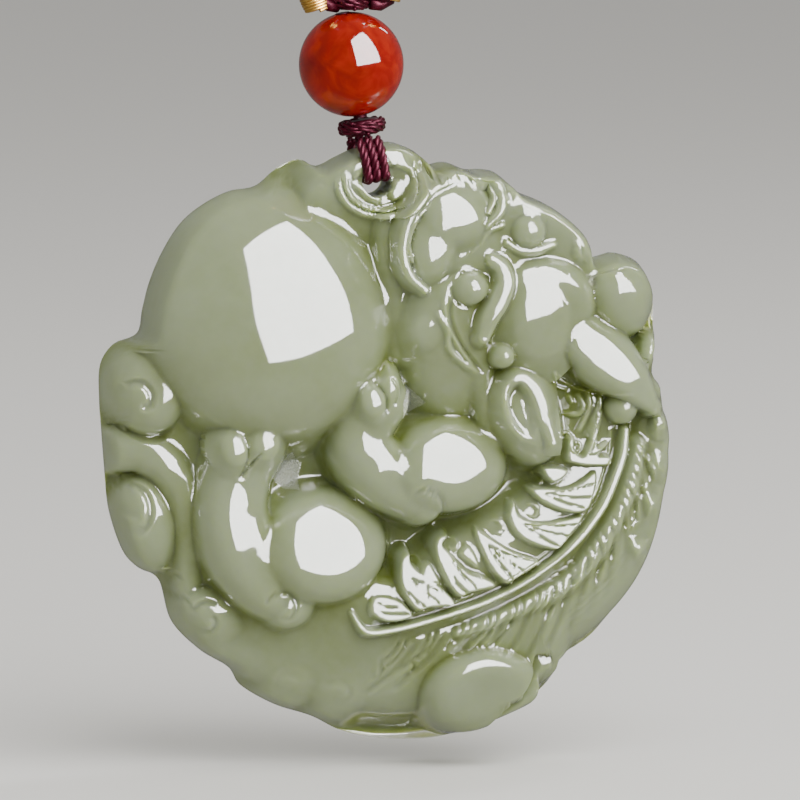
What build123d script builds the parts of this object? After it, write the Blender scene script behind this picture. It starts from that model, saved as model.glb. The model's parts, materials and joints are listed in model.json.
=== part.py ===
from build123d import *
import os
from collections import namedtuple
from math import acos, atan2, cos, hypot, pi, radians, sin

os.makedirs("parts", exist_ok=True)

# Driving dimensions in millimetres. The origin is the inside top of the neck loop, +Z is up
# and the carved face looks along -Y.
disc_radius = 24.5
front_height = 8.5
back_depth = 7.4
rim_depth = 3.6
rim_round = 1.2

coin_half_width = 4.0
coin_half_height = 3.1
coin_front = 2.4
coin_back = 2.2
coin_edge = 1.2
coin_face_depth = 0.45
coin_ring_outer = 0.70
coin_ring_inner = 0.62
coin_recess = 1.04
cord_hole = 2.7

bead_diameter = 9.1
bead_bore = 1.5
bead_thread_diameter = 1.2

strand_diameter = 0.68
strand_count = 3
strand_bend = 0.7
strand_seat = 0.12
piece_gap = 0.12

lower_knot_radius = 2.15
lower_knot_height = 1.6
upper_knot_radius = 1.65
upper_knot_height = 1.95
knot_turns = 3

neck_cord_diameter = 2.0
neck_radius = 60.0
neck_drop = 195.28
neck_spread = 2.9

wrap_diameter = 2.6
wrap_length = 3.4
wrap_waist = 0.84
wrap_stagger = 1.0

# The coin's hole is just inside the disc's top, and the string leans to the left above it.
hole_side = 1.5
hole_inset = 1.5
drop_lean = 9.86
knot_lift = 0.851

# Places on the carved face, from the middle of the disc: x to the right and y up.
bead_radius = bead_diameter / 2
lower_knot_foot = coin_half_height + knot_lift
lower_knot_top = lower_knot_foot + lower_knot_height
bead_distance = lower_knot_top + piece_gap + bead_radius
hole_x, hole_y = -hole_side, disc_radius - hole_inset
bead_x = hole_x - bead_distance * sin(radians(drop_lean))
bead_y = hole_y + bead_distance * cos(radians(drop_lean))
wrap_foot_y = bead_y + bead_radius

# The disc's middle hangs below the neck loop and beside its axis.
disc_x = -bead_x
disc_z = -neck_radius - neck_drop - wrap_foot_y


def at(x, y, out=0.0):
    """A point of the carved face: x right, y up and out towards the viewer, from the disc's middle."""
    return Vector(disc_x + x, -out, disc_z + y)


def spot(row_x, row_y, row_out=0.0):
    """The same point with x and y as shares of the disc's radius and out as a share of the relief."""
    return at(row_x * disc_radius, row_y * disc_radius, row_out * front_height)


# The relief in shares: places and radii of the disc's radius, heights of the relief's height.
Turn = namedtuple("Turn", "reach depth")
Dome = namedtuple("Dome", "x y foot top rise root")
Limb = namedtuple("Limb", "x1 y1 out1 radius1 x2 y2 out2 radius2")
Ridge = namedtuple("Ridge", "out radius bend points")
Feather = namedtuple("Feather", "angle reach swing out1 radius1 out2 radius2")

# The plain disc's half section from the face's middle over the rim to the back's middle.
disc_profile = [
    Turn(0, 0.16 * front_height),
    Turn(0.40, 0.16 * front_height),
    Turn(0.68, 0.40 * front_height),
    Turn(0.86, 0.34 * front_height),
    Turn(0.98, 0.02 * front_height),
    Turn(1.00, -0.60 * rim_depth),
    Turn(0.95, -1.10 * rim_depth),
    Turn(0.72, -0.92 * back_depth),
    Turn(0.45, -back_depth),
    Turn(0, -back_depth),
]

# The great ball beside the animal: its middle and radius, then its round shoulder and side.
ball_x, ball_y, ball_size = -0.416, 0.452, 0.452
ball_radius = ball_size * disc_radius
ball_shoulder = Turn(0.68, 0.78 * front_height)
ball_edge = Turn(1.0, 0.08 * front_height)
ball_side = Turn(1.005, -0.30 * rim_depth)
ball_foot = Turn(0.94, -1.25 * rim_depth)

domes = {
    "head": Dome(0.36, 0.66, 0.32, 0.70, 0.34, -0.60),
    "snout": Dome(0.49, 0.54, 0.135, 0.97, 0.34, 0.00),
    "near_eye": Dome(0.237, 0.576, 0.056, 0.88, 0.16, 0.30),
    "far_eye": Dome(0.453, 0.804, 0.072, 0.80, 0.16, 0.20),
    "right_brow": Dome(0.61, 0.745, 0.10, 0.56, 0.26, -0.50),
    "ear_wall": Dome(0.262, 0.900, 0.118, 0.70, 0.14, -0.50),
    "ear_lobe_wall": Dome(0.105, 0.735, 0.132, 0.70, 0.14, -0.20),
    "cheek": Dome(0.13, 0.38, 0.17, 0.66, 0.28, 0.00),
    "nose_knob": Dome(0.357, 0.341, 0.036, 0.84, 0.12, 0.30),
    "cloud_ball": Dome(0.806, 0.541, 0.145, 0.58, 0.38, -0.45),
    "wing_knob": Dome(0.818, 0.145, 0.062, 0.62, 0.16, 0.10),
    "front_haunch": Dome(-0.298, -0.326, 0.222, 0.96, 0.52, 0.10),
    "rear_haunch": Dome(0.177, -0.039, 0.195, 0.90, 0.46, 0.10),
    "thigh": Dome(0.31, -0.865, 0.155, 0.68, 0.38, -0.45),
    "left_scroll": Dome(-0.383, -0.852, 0.105, 0.44, 0.24, -0.50),
    "middle_scroll": Dome(-0.211, -0.885, 0.10, 0.42, 0.22, -0.50),
    "lower_scroll": Dome(-0.664, -0.587, 0.115, 0.46, 0.24, -0.40),
    "upper_curl": Dome(-0.880, 0.222, 0.150, 0.44, 0.20, -0.42),
    "upper_curl_eye": Dome(-0.915, 0.160, 0.060, 0.47, 0.08, 0.10),
    "lower_curl_eye": Dome(-0.945, -0.232, 0.068, 0.44, 0.08, 0.10),
}

limbs = {
    "ear": Limb(0.275, 0.895, 0.46, 0.098, 0.115, 0.735, 0.46, 0.112),
    "ear_lobe": Limb(0.115, 0.735, 0.46, 0.112, 0.075, 0.640, 0.40, 0.085),
    "jaw": Limb(0.10, 0.52, 0.30, 0.12, 0.22, 0.30, 0.30, 0.13),
    "shoulder_leaf": Limb(0.66, 0.395, 0.36, 0.112, 0.87, 0.215, 0.28, 0.045),
    "chin_drop": Limb(0.43, 0.125, 0.44, 0.105, 0.51, 0.02, 0.42, 0.065),
    "chin_drop_top": Limb(0.43, 0.125, 0.44, 0.105, 0.40, 0.225, 0.46, 0.07),
    "front_paw": Limb(-0.612, 0.02, 0.52, 0.082, -0.515, 0.05, 0.52, 0.076),
    "front_arm_upper": Limb(-0.575, 0.01, 0.38, 0.115, -0.655, -0.23, 0.34, 0.118),
    "front_arm_lower": Limb(-0.655, -0.23, 0.34, 0.118, -0.47, -0.52, 0.36, 0.112),
    "front_heel": Limb(-0.47, -0.52, 0.36, 0.112, -0.30, -0.44, 0.46, 0.14),
    "rear_paw": Limb(-0.125, 0.18, 0.54, 0.078, -0.050, 0.225, 0.52, 0.066),
    "rear_arm_upper": Limb(-0.115, 0.165, 0.42, 0.105, -0.135, 0.01, 0.38, 0.108),
    "rear_arm_lower": Limb(-0.135, 0.01, 0.38, 0.108, 0.045, -0.185, 0.38, 0.100),
    "thigh_left": Limb(0.34, -0.85, 0.26, 0.13, 0.10, -0.905, 0.14, 0.13),
    "thigh_right": Limb(0.34, -0.85, 0.26, 0.13, 0.50, -0.795, 0.16, 0.095),
    "belly": Limb(0.02, -0.93, 0.02, 0.135, -0.30, -0.87, 0.02, 0.12),
    "curl_band": Limb(-0.925, -0.02, 0.10, 0.092, -0.805, -0.07, 0.16, 0.104),
    "curl_tail": Limb(-0.785, -0.10, 0.17, 0.092, -0.740, -0.43, 0.11, 0.082),
    "lower_curl": Limb(-0.90, -0.215, 0.06, 0.135, -0.865, -0.345, 0.02, 0.120),
    "upper_curl_top": Limb(-0.885, 0.24, 0.02, 0.13, -0.885, 0.31, -0.02, 0.095),
    "back_lobe_left": Limb(-0.20, 0.86, -0.40, 0.10, -0.335, 0.915, -0.42, 0.082),
    "back_lobe_right": Limb(0.13, 0.88, -0.40, 0.085, 0.245, 0.910, -0.42, 0.068),
    "back_lobe_low": Limb(0.44, -0.84, -0.42, 0.10, 0.555, -0.880, -0.42, 0.070),
}

ridges = {
    "ear_rim": Ridge(0.69, 0.032, 0.06, [
        (0.345, 0.800), (0.362, 0.900), (0.325, 0.985), (0.235, 0.995), (0.110, 0.930),
        (0.015, 0.820), (-0.010, 0.695), (0.020, 0.615), (0.085, 0.590)]),
    "nose_bridge": Ridge(0.74, 0.034, 0.05, [
        (0.300, 0.700), (0.362, 0.610), (0.325, 0.500), (0.270, 0.410)]),
    "cheek_crease": Ridge(0.62, 0.016, 0.05, [
        (0.120, 0.515), (0.165, 0.430), (0.205, 0.345), (0.275, 0.275)]),
    "coin_lip": Ridge(-0.30, 0.060, 0.10, [
        (-0.330, 0.905), (-0.180, 0.950), (0.060, 0.955), (0.230, 0.905)]),
}

# The wing's spine is an arc, and its feathers leave it inwards and outwards.
spine_x, spine_y, spine_radius = -0.04, 0.205, 0.853
spine_from, spine_to = -9.0, -95.0
spine_out = 0.60
spine_thickness = 0.024
feather_root = 0.6

# A ridge ends in a ball that is a little thicker than the ridge.
ridge_end = 1.08

inner_feathers = [
    Feather(-90, 0.095, -8, 0.42, 0.042, 0.42, 0.036),
    Feather(-82, 0.185, -5, 0.42, 0.052, 0.44, 0.044),
    Feather(-70, 0.200, -5, 0.42, 0.055, 0.44, 0.046),
    Feather(-58, 0.215, -6, 0.42, 0.058, 0.44, 0.048),
    Feather(-42, 0.225, -8, 0.42, 0.060, 0.44, 0.048),
    Feather(-27, 0.215, -8, 0.42, 0.055, 0.44, 0.044),
    Feather(-14, 0.160, 4, 0.44, 0.048, 0.44, 0.040),
]

outer_feathers = [
    Feather(-1, 0.120, 14, 0.34, 0.045, 0.16, 0.050),
    Feather(-9, 0.130, 10, 0.36, 0.055, 0.14, 0.060),
    Feather(-17, 0.140, 6, 0.36, 0.060, 0.12, 0.066),
    Feather(-25, 0.160, 1, 0.36, 0.063, 0.11, 0.071),
    Feather(-33, 0.180, -2, 0.36, 0.062, 0.10, 0.072),
    Feather(-42, 0.205, -6, 0.36, 0.062, 0.10, 0.074),
    Feather(-51, 0.215, -9, 0.36, 0.060, 0.10, 0.072),
    Feather(-60, 0.200, -9, 0.36, 0.058, 0.12, 0.066),
    Feather(-69, 0.180, -6, 0.37, 0.056, 0.17, 0.062),
    Feather(-78, 0.150, -5, 0.34, 0.050, 0.18, 0.052),
    Feather(-87, 0.130, -4, 0.32, 0.046, 0.18, 0.048),
]


def along(start, end):
    """A plane at start whose x axis points at end."""
    direction = end - start
    side = Vector(0, -1, 0) if abs(direction.normalized().Y) < 0.9 else Vector(1, 0, 0)
    return Plane(origin=start, x_dir=direction, z_dir=direction.cross(side))


def add_dome(row):
    """A spherical cap on a round wall that stands in the body of the disc."""
    foot = row.foot * disc_radius
    rise = row.rise * front_height
    height = row.top * front_height
    face = Plane(origin=spot(row.x, row.y), x_dir=(1, 0, 0), z_dir=(0, 0, -1))
    ball = (foot**2 + rise**2) / (2 * rise)
    half_turn = acos(1 - rise / ball) / 2
    with BuildSketch(face) as section:
        with BuildLine():
            cap = ThreePointArc(
                (foot, height - rise),
                (ball * sin(half_turn), height - ball + ball * cos(half_turn)),
                (0, height),
            )
            Polyline(cap @ 1, (0, row.root * front_height), (foot, row.root * front_height), cap @ 0)
        make_face()
    revolve(section.sketch, axis=Axis(spot(row.x, row.y), (0, -1, 0)))


def add_limb(start, start_radius, end, end_radius):
    """A round limb whose two ends are balls and whose sides run tangent to both."""
    length = (end - start).length
    tangent = acos((start_radius - end_radius) / length)

    def on_ball(middle, radius, angle):
        return middle + radius * cos(angle), radius * sin(angle)

    with BuildSketch(along(start, end)) as section:
        with BuildLine():
            back = ThreePointArc(
                on_ball(0, start_radius, pi),
                on_ball(0, start_radius, (pi + tangent) / 2),
                on_ball(0, start_radius, tangent),
            )
            tip = ThreePointArc(
                on_ball(length, end_radius, tangent),
                on_ball(length, end_radius, tangent / 2),
                on_ball(length, end_radius, 0),
            )
            Line(back @ 1, tip @ 0)
            Line(tip @ 1, back @ 0)
        make_face()
    revolve(section.sketch, axis=Axis(start, end - start))


def add_ridge(row):
    """A rounded ridge along straight runs and tangent arcs, half sunk in the relief."""
    points = [spot(x, y, row.out) for x, y in row.points]
    thickness = row.radius * disc_radius
    with BuildLine() as path:
        FilletPolyline(*points, radius=row.bend * disc_radius)
    with BuildSketch(Plane(points[0], z_dir=points[1] - points[0])) as section:
        Circle(thickness)
    sweep(section.sketch, path=path.wires()[0])
    for end in (points[0], points[-1]):
        with Locations(end):
            Sphere(thickness * ridge_end)


def add_feather(row, way):
    """One feather from the wing's spine, way -1 inwards and +1 outwards."""
    angle = radians(row.angle)
    tip_angle = radians(row.angle + row.swing)
    base = spine_radius + way * row.radius1 * feather_root
    reach = spine_radius + way * row.reach
    start = spot(spine_x + base * cos(angle), spine_y + base * sin(angle), row.out1)
    end = spot(spine_x + reach * cos(tip_angle), spine_y + reach * sin(tip_angle), row.out2)
    add_limb(start, row.radius1 * disc_radius, end, row.radius2 * disc_radius)


# The old coin at the top, through which the pendant hangs, is carved from the same stone.
coin_face = Plane(origin=at(hole_x, hole_y, coin_front), x_dir=(1, 0, 0), z_dir=(0, -1, 0))
with BuildPart() as coin:
    with BuildSketch(coin_face):
        Ellipse(coin_half_width, coin_half_height)
    extrude(amount=-coin_front - coin_back)
    rims = coin.faces().sort_by(Axis.Y)
    fillet(rims[0].edges() + rims[-1].edges(), coin_edge)
    with BuildSketch(coin_face):
        Ellipse(coin_half_width * coin_ring_outer, coin_half_height * coin_ring_outer)
        Ellipse(
            coin_half_width * coin_ring_inner,
            coin_half_height * coin_ring_inner,
            mode=Mode.SUBTRACT,
        )
        Rectangle(cord_hole, cord_hole, rotation=45)
    extrude(amount=-coin_face_depth, mode=Mode.SUBTRACT)

# The carved jade: one solid disc with a ball, the curled animal, its wing and cloud curls.
with BuildPart() as jade_pixiu:
    half_section = Plane(origin=at(0, 0), x_dir=(1, 0, 0), z_dir=(0, 0, -1))
    profile = [(turn.reach * disc_radius, turn.depth) for turn in disc_profile]
    with BuildSketch(half_section):
        with BuildLine():
            FilletPolyline(*profile, radius=rim_round)
            Line(profile[-1], profile[0])
        make_face()
    revolve(axis=Axis(at(0, 0), (0, -1, 0)))

    def on_great_ball(turn):
        return turn.reach * ball_radius, turn.depth

    # The great ball stands through the whole thickness.
    with BuildSketch(Plane(origin=spot(ball_x, ball_y), x_dir=(1, 0, 0), z_dir=(0, 0, -1))):
        with BuildLine():
            front = ThreePointArc(
                (0, front_height), on_great_ball(ball_shoulder), on_great_ball(ball_edge)
            )
            side = ThreePointArc(front @ 1, on_great_ball(ball_side), on_great_ball(ball_foot))
            Polyline(side @ 1, (0, ball_foot.depth), front @ 0)
        make_face()
    revolve(axis=Axis(spot(ball_x, ball_y), (0, -1, 0)))

    for limb in limbs.values():
        add_limb(
            spot(limb.x1, limb.y1, limb.out1),
            limb.radius1 * disc_radius,
            spot(limb.x2, limb.y2, limb.out2),
            limb.radius2 * disc_radius,
        )
    for feather in inner_feathers:
        add_feather(feather, -1)
    for feather in outer_feathers:
        add_feather(feather, 1)
    for dome in domes.values():
        add_dome(dome)

    # The wing's raised spine.
    spine_turns = [radians(a) for a in (spine_from, (spine_from + spine_to) / 2, spine_to)]
    spine_points = [
        spot(spine_x + spine_radius * cos(a), spine_y + spine_radius * sin(a), spine_out)
        for a in spine_turns
    ]
    with BuildLine() as spine_path:
        ThreePointArc(*spine_points)
    with BuildSketch(Plane(spine_points[0], z_dir=spine_path.wires()[0] % 0)):
        Circle(spine_thickness * disc_radius)
    sweep(path=spine_path.wires()[0])
    for end in (spine_points[0], spine_points[-1]):
        with Locations(end):
            Sphere(spine_thickness * disc_radius * ridge_end)

    for ridge in ridges.values():
        add_ridge(ridge)

    add(coin.part)
    with BuildSketch(coin_face.offset(-coin_front - coin_back)):
        Ellipse(coin_half_width * coin_recess, coin_half_height * coin_recess)
    extrude(amount=-back_depth, mode=Mode.SUBTRACT)
    with BuildSketch(coin_face.offset(back_depth)):
        Circle(cord_hole / 2)
    extrude(amount=-3 * back_depth, mode=Mode.SUBTRACT)

jade_pixiu.part.label = "jade_pixiu"
export_step(jade_pixiu.part, "parts/jade_pixiu.step")

# The drop line runs from the coin's hole through the lower knot and the bead, leaning a little.
hole = at(hole_x, hole_y)
bead_middle = at(bead_x, bead_y)
drop_line = (bead_middle - hole).normalized()
upper_knot_foot = bead_middle + Vector(0, 0, bead_radius + piece_gap)


def on_drop(distance):
    """The plane square to the drop line at a distance above the hole."""
    return Plane(origin=hole + drop_line * distance, x_dir=(0, -1, 0), z_dir=drop_line)


def half_plane(base):
    """The plane through a base plane's axis: x is across and y along the axis."""
    return Plane(origin=base.origin, x_dir=base.x_dir, z_dir=base.x_dir.cross(base.z_dir))


def add_knot(base, radius, height, turns):
    """A stack of rounded cord turns on a base plane."""
    turn = height / turns
    with BuildSketch(half_plane(base)) as section:
        with BuildLine():
            Polyline(
                (radius - turn / 2, height),
                (0, height),
                (0, 0),
                (radius - turn / 2, 0),
            )
            for i in range(turns):
                ThreePointArc(
                    (radius - turn / 2, i * turn),
                    (radius, (i + 0.5) * turn),
                    (radius - turn / 2, (i + 1) * turn),
                )
        make_face()
    revolve(section.sketch, axis=Axis(base.origin, base.z_dir))


# The strands run from the lower knot down the coin's face, through its hole and up its back.
with BuildPart() as bail_cord:
    strand_radius = strand_diameter / 2
    knot_reach = lower_knot_radius - lower_knot_height / knot_turns / 2
    front_run = coin_front + piece_gap + strand_radius
    back_run = -coin_back - piece_gap - strand_radius
    in_hole = strand_seat * cord_hole
    over_coin = coin_half_height - piece_gap
    route = [
        (knot_reach, lower_knot_foot - strand_radius),
        (front_run, over_coin),
        (front_run, in_hole),
        (back_run, in_hole),
        (back_run, over_coin),
        (-knot_reach, lower_knot_foot - strand_radius),
    ]
    for i in range(strand_count):
        offset = (i - (strand_count - 1) / 2) * (strand_diameter + piece_gap)
        side = drop_line.cross(Vector(0, -1, 0))
        strand_plane = Plane(origin=hole + side * offset, x_dir=(0, -1, 0), z_dir=side * -1)
        with BuildLine(strand_plane) as strand_path:
            FilletPolyline(*route, radius=strand_bend * strand_diameter)
        with BuildSketch(Plane(strand_path.wires()[0] @ 0, z_dir=strand_path.wires()[0] % 0)):
            Circle(strand_radius)
        sweep(path=strand_path.wires()[0])
bail_cord.part.label = "bail_cord"
export_step(bail_cord.part, "parts/bail_cord.step")

with BuildPart() as lower_knot:
    add_knot(on_drop(lower_knot_foot), lower_knot_radius, lower_knot_height, knot_turns)
lower_knot.part.label = "lower_knot"
export_step(lower_knot.part, "parts/lower_knot.step")

# The agate bead, drilled along the drop line.
with BuildPart() as agate_bead:
    with Locations(bead_middle):
        Sphere(bead_radius)
    with BuildSketch(on_drop(bead_distance - bead_diameter)):
        Circle(bead_bore / 2)
    extrude(amount=2 * bead_diameter, mode=Mode.SUBTRACT)
agate_bead.part.label = "agate_bead"
export_step(agate_bead.part, "parts/agate_bead.step")

with BuildPart() as bead_thread:
    with BuildSketch(on_drop(lower_knot_top)):
        Circle(bead_thread_diameter / 2)
    extrude(amount=bead_diameter + piece_gap)
bead_thread.part.label = "bead_thread"
export_step(bead_thread.part, "parts/bead_thread.step")

with BuildPart() as upper_knot:
    add_knot(
        Plane(origin=upper_knot_foot, x_dir=(1, 0, 0), z_dir=(0, 0, 1)),
        upper_knot_radius,
        upper_knot_height,
        knot_turns,
    )
upper_knot.part.label = "upper_knot"
export_step(upper_knot.part, "parts/upper_knot.step")

# The neck loop: two straight runs, taut, and the arc that lies on the neck.
arc_radius = neck_radius + neck_cord_diameter / 2
arc_middle = Vector(0, 0, -neck_radius)
end_reach = hypot(neck_spread, neck_drop)
tangent_turn = acos(arc_radius / end_reach) - atan2(neck_spread, neck_drop)
tangent_x = arc_radius * sin(tangent_turn)
tangent_z = -arc_radius * cos(tangent_turn)
with BuildPart() as neck_cord:
    with BuildLine() as neck_path:
        left_end = arc_middle + Vector(-neck_spread, 0, -neck_drop)
        left_tangent = arc_middle + Vector(-tangent_x, 0, tangent_z)
        right_tangent = arc_middle + Vector(tangent_x, 0, tangent_z)
        right_end = arc_middle + Vector(neck_spread, 0, -neck_drop)
        Line(left_end, left_tangent)
        ThreePointArc(left_tangent, arc_middle + Vector(0, 0, arc_radius), right_tangent)
        Line(right_tangent, right_end)
    with BuildSketch(Plane(left_end, z_dir=left_tangent - left_end)):
        Circle(neck_cord_diameter / 2)
    sweep(path=neck_path.wires()[0])
neck_cord.part.label = "neck_cord"
export_step(neck_cord.part, "parts/neck_cord.step")

# A sleeve of gold thread is wound on each end of the neck cord, beside the upper knot.
for name, way, lift in (("gold_wrap_left", -1, 0.0), ("gold_wrap_right", 1, wrap_stagger)):
    foot = arc_middle + Vector(way * neck_spread, 0, -neck_drop)
    run = (arc_middle + Vector(way * tangent_x, 0, tangent_z) - foot).normalized()
    bore = neck_cord_diameter / 2 + piece_gap / 2
    base = Plane(origin=foot + run * lift, x_dir=(0, -1, 0), z_dir=run)
    with BuildPart() as gold_wrap:
        with BuildSketch(half_plane(base)):
            with BuildLine():
                belly = ThreePointArc(
                    (wrap_waist * wrap_diameter / 2, 0),
                    (wrap_diameter / 2, wrap_length / 2),
                    (wrap_waist * wrap_diameter / 2, wrap_length),
                )
                Polyline(belly @ 1, (bore, wrap_length), (bore, 0), belly @ 0)
            make_face()
        revolve(axis=Axis(base.origin, base.z_dir))
    gold_wrap.part.label = name
    export_step(gold_wrap.part, f"parts/{name}.step")

neck_length = neck_path.wires()[0].length
tube_volume = neck_length * pi * (neck_cord_diameter / 2) ** 2
print("neck cord length", round(neck_length, 1), "arc radius", arc_radius)
print("neck cord volume share", round(neck_cord.part.volume / tube_volume, 4))
print("strand bend radius", round(strand_bend * strand_diameter, 3))
for piece in (jade_pixiu, bail_cord, lower_knot, agate_bead, bead_thread, upper_knot, neck_cord):
    print(piece.part.label, piece.part.is_valid, len(piece.part.solids()), round(piece.part.volume, 1))
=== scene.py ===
"""A carved jade pendant on a dark red cord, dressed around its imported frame."""

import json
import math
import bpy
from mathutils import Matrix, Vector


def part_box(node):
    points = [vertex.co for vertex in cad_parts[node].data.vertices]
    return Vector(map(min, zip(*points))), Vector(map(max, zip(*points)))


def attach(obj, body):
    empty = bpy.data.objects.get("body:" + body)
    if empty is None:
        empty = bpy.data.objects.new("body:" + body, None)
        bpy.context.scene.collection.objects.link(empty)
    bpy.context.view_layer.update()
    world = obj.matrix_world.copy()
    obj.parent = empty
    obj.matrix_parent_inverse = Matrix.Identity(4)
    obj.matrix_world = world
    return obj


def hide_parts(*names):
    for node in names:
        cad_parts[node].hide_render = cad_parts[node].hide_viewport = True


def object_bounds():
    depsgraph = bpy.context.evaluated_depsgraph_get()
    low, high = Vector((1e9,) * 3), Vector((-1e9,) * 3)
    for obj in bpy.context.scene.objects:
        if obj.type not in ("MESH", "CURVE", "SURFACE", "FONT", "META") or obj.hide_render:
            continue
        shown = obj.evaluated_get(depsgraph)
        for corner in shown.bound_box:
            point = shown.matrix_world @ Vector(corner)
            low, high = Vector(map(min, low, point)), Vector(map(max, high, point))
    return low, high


bl_info = {
    "name": "Jade Pixiu Pendant",
    "version": (1, 0, 0),
    "blender": (4, 5, 0),
    "location": "3D Viewport > Sidebar > Pendant",
    "description": "Carves the jade, turns the bead and winds the cords of a pendant necklace",
    "category": "Object",
}

from collections import namedtuple

import bpy
import numpy as np
from bpy.props import FloatProperty, FloatVectorProperty, IntProperty, PointerProperty
from mathutils import Vector

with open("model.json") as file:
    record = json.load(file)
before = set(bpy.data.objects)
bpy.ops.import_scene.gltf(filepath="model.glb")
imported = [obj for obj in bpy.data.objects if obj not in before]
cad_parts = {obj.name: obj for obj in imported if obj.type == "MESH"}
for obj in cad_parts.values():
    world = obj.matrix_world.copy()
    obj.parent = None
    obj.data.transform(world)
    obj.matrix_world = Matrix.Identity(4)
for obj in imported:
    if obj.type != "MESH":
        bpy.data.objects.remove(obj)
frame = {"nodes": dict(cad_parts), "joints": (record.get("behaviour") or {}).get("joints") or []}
CAD_LOW, CAD_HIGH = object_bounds()
MM = 0.001
TINY = 1e-9

# The camera's angle to the pendant, and the picture's scale and middle in its 800 x 800 pixels.
VIEW_AZIMUTH = math.radians(-12.0)
VIEW_ELEVATION = math.radians(6.0)
PIXELS_PER_MM = 11.5
PICTURE_SIDE = 800
DISC_PX, DISC_PY = 388, 443
LENS_MM = 500.0
SENSOR_MM = 36.0

# The hole in the coin lies on the hinge line. The disc's middle is below it and to the right.
HOLE = Vector(frame["joints"][0]["pos_m"]) / MM
HOLE_SIDE, HOLE_ABOVE = -1.5, 23.0
DISC = HOLE - Vector((HOLE_SIDE, 0, HOLE_ABOVE))
HOLE_DIAMETER = 2.7

# The plain form under the carving, in millimetres from the disc's middle plane and middle line.
MEAN_RADIUS = 24.0
RIM_OUT = -2.2
RIM_ROUND = 0.95
BACK_DEPTH = 7.35
BACK_RISE = 3.6
COIN_HALF_WIDTH, COIN_HALF_HEIGHT = 4.0, 3.1
COIN_BACK = -2.2
PAD_MARGIN = 1.06

# The front's height at distances from the disc's middle, before anything is raised on it.
FRONT_PROFILE = ((0, 1.1), (9, 1.1), (16, 2.3), (20, 2.2), (22, 1.2), (23.5, -1.6), (26, -2.8), (32, -3))

# The rim is thinner at the top: the middle and spread of that stretch, as the cosine of its angle,
# and the share that its rounding loses.
THIN_RIM_MIDDLE, THIN_RIM_SPREAD, THIN_RIM_CUT = 0.12, 0.36, 0.65

# The grid's outer share that is the rim's wall, the raster's step and half width in millimetres, and
# the shares of the grid's area that are divided once, twice and three times.
WALL_SHARE = 0.18
RASTER_STEP, RASTER_HALF = 0.12, 27.0
REFINED_SHARES = (0.62, 0.34, 0.10)
REFINED_REACH = 0.80

# How strongly the olive painted shade gathers in the cuts, standing in for the shade and deeper
# colour that light gives them inside the stone: everywhere, in broad hollows and in narrow ones. The
# hollows are read from the relief blurred over so many cells of the raster.
PAINTED_SHADE_BASE, PAINTED_SHADE_BROAD, PAINTED_SHADE_CLOSE = 0.34, 0.42, 0.60
BROAD_BLUR, CLOSE_BLUR, DETAIL_BLUR = 16, 3, 4
# The plain back takes an even share of the olive painted shade.
BACK_PAINTED_SHADE = 0.35

# Points of the front and back that are nearer than this, in metres, become one.
WELD_GAP = 2e-6

# A mass is placed at a share of its height, and is worked out to so many times its radius. Its
# round crown goes over into a straight slope near its edge.
MOUND_PLACE = 0.35
LIMB_PLACE = 0.6
MASS_REACH = 1.7
DOME_EDGE = 0.95

# A plate's edge is rounded over its width and drops by a little, then falls steeply.
PLATE_EDGE, PLATE_DROP, PLATE_FALL = 0.16, 0.18, 0.75
PLATE_REACH = 0.8
PLATE_BLEND = 0.05

# A line's ends run out over this share of its length.
STROKE_END = 0.12

# Rounded masses of the carving. Places and half sizes are pixels of the picture, top and foot
# are millimetres in front of the disc's middle plane, turn is in degrees. A lean is the rise of a
# form's crown for each millimetre to the right and up, and flat is 2 for an ellipse and more for a
# flatter crown with steeper sides.
Mound = namedtuple("Mound", "px py half_x half_y turn top foot blend lean flat",
                   defaults=((0, 0), 2))
Limb = namedtuple("Limb", "rise blend lean flat points")
Plate = namedtuple("Plate", "out lean points")
Stroke = namedtuple("Stroke", "width height out points")

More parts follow.
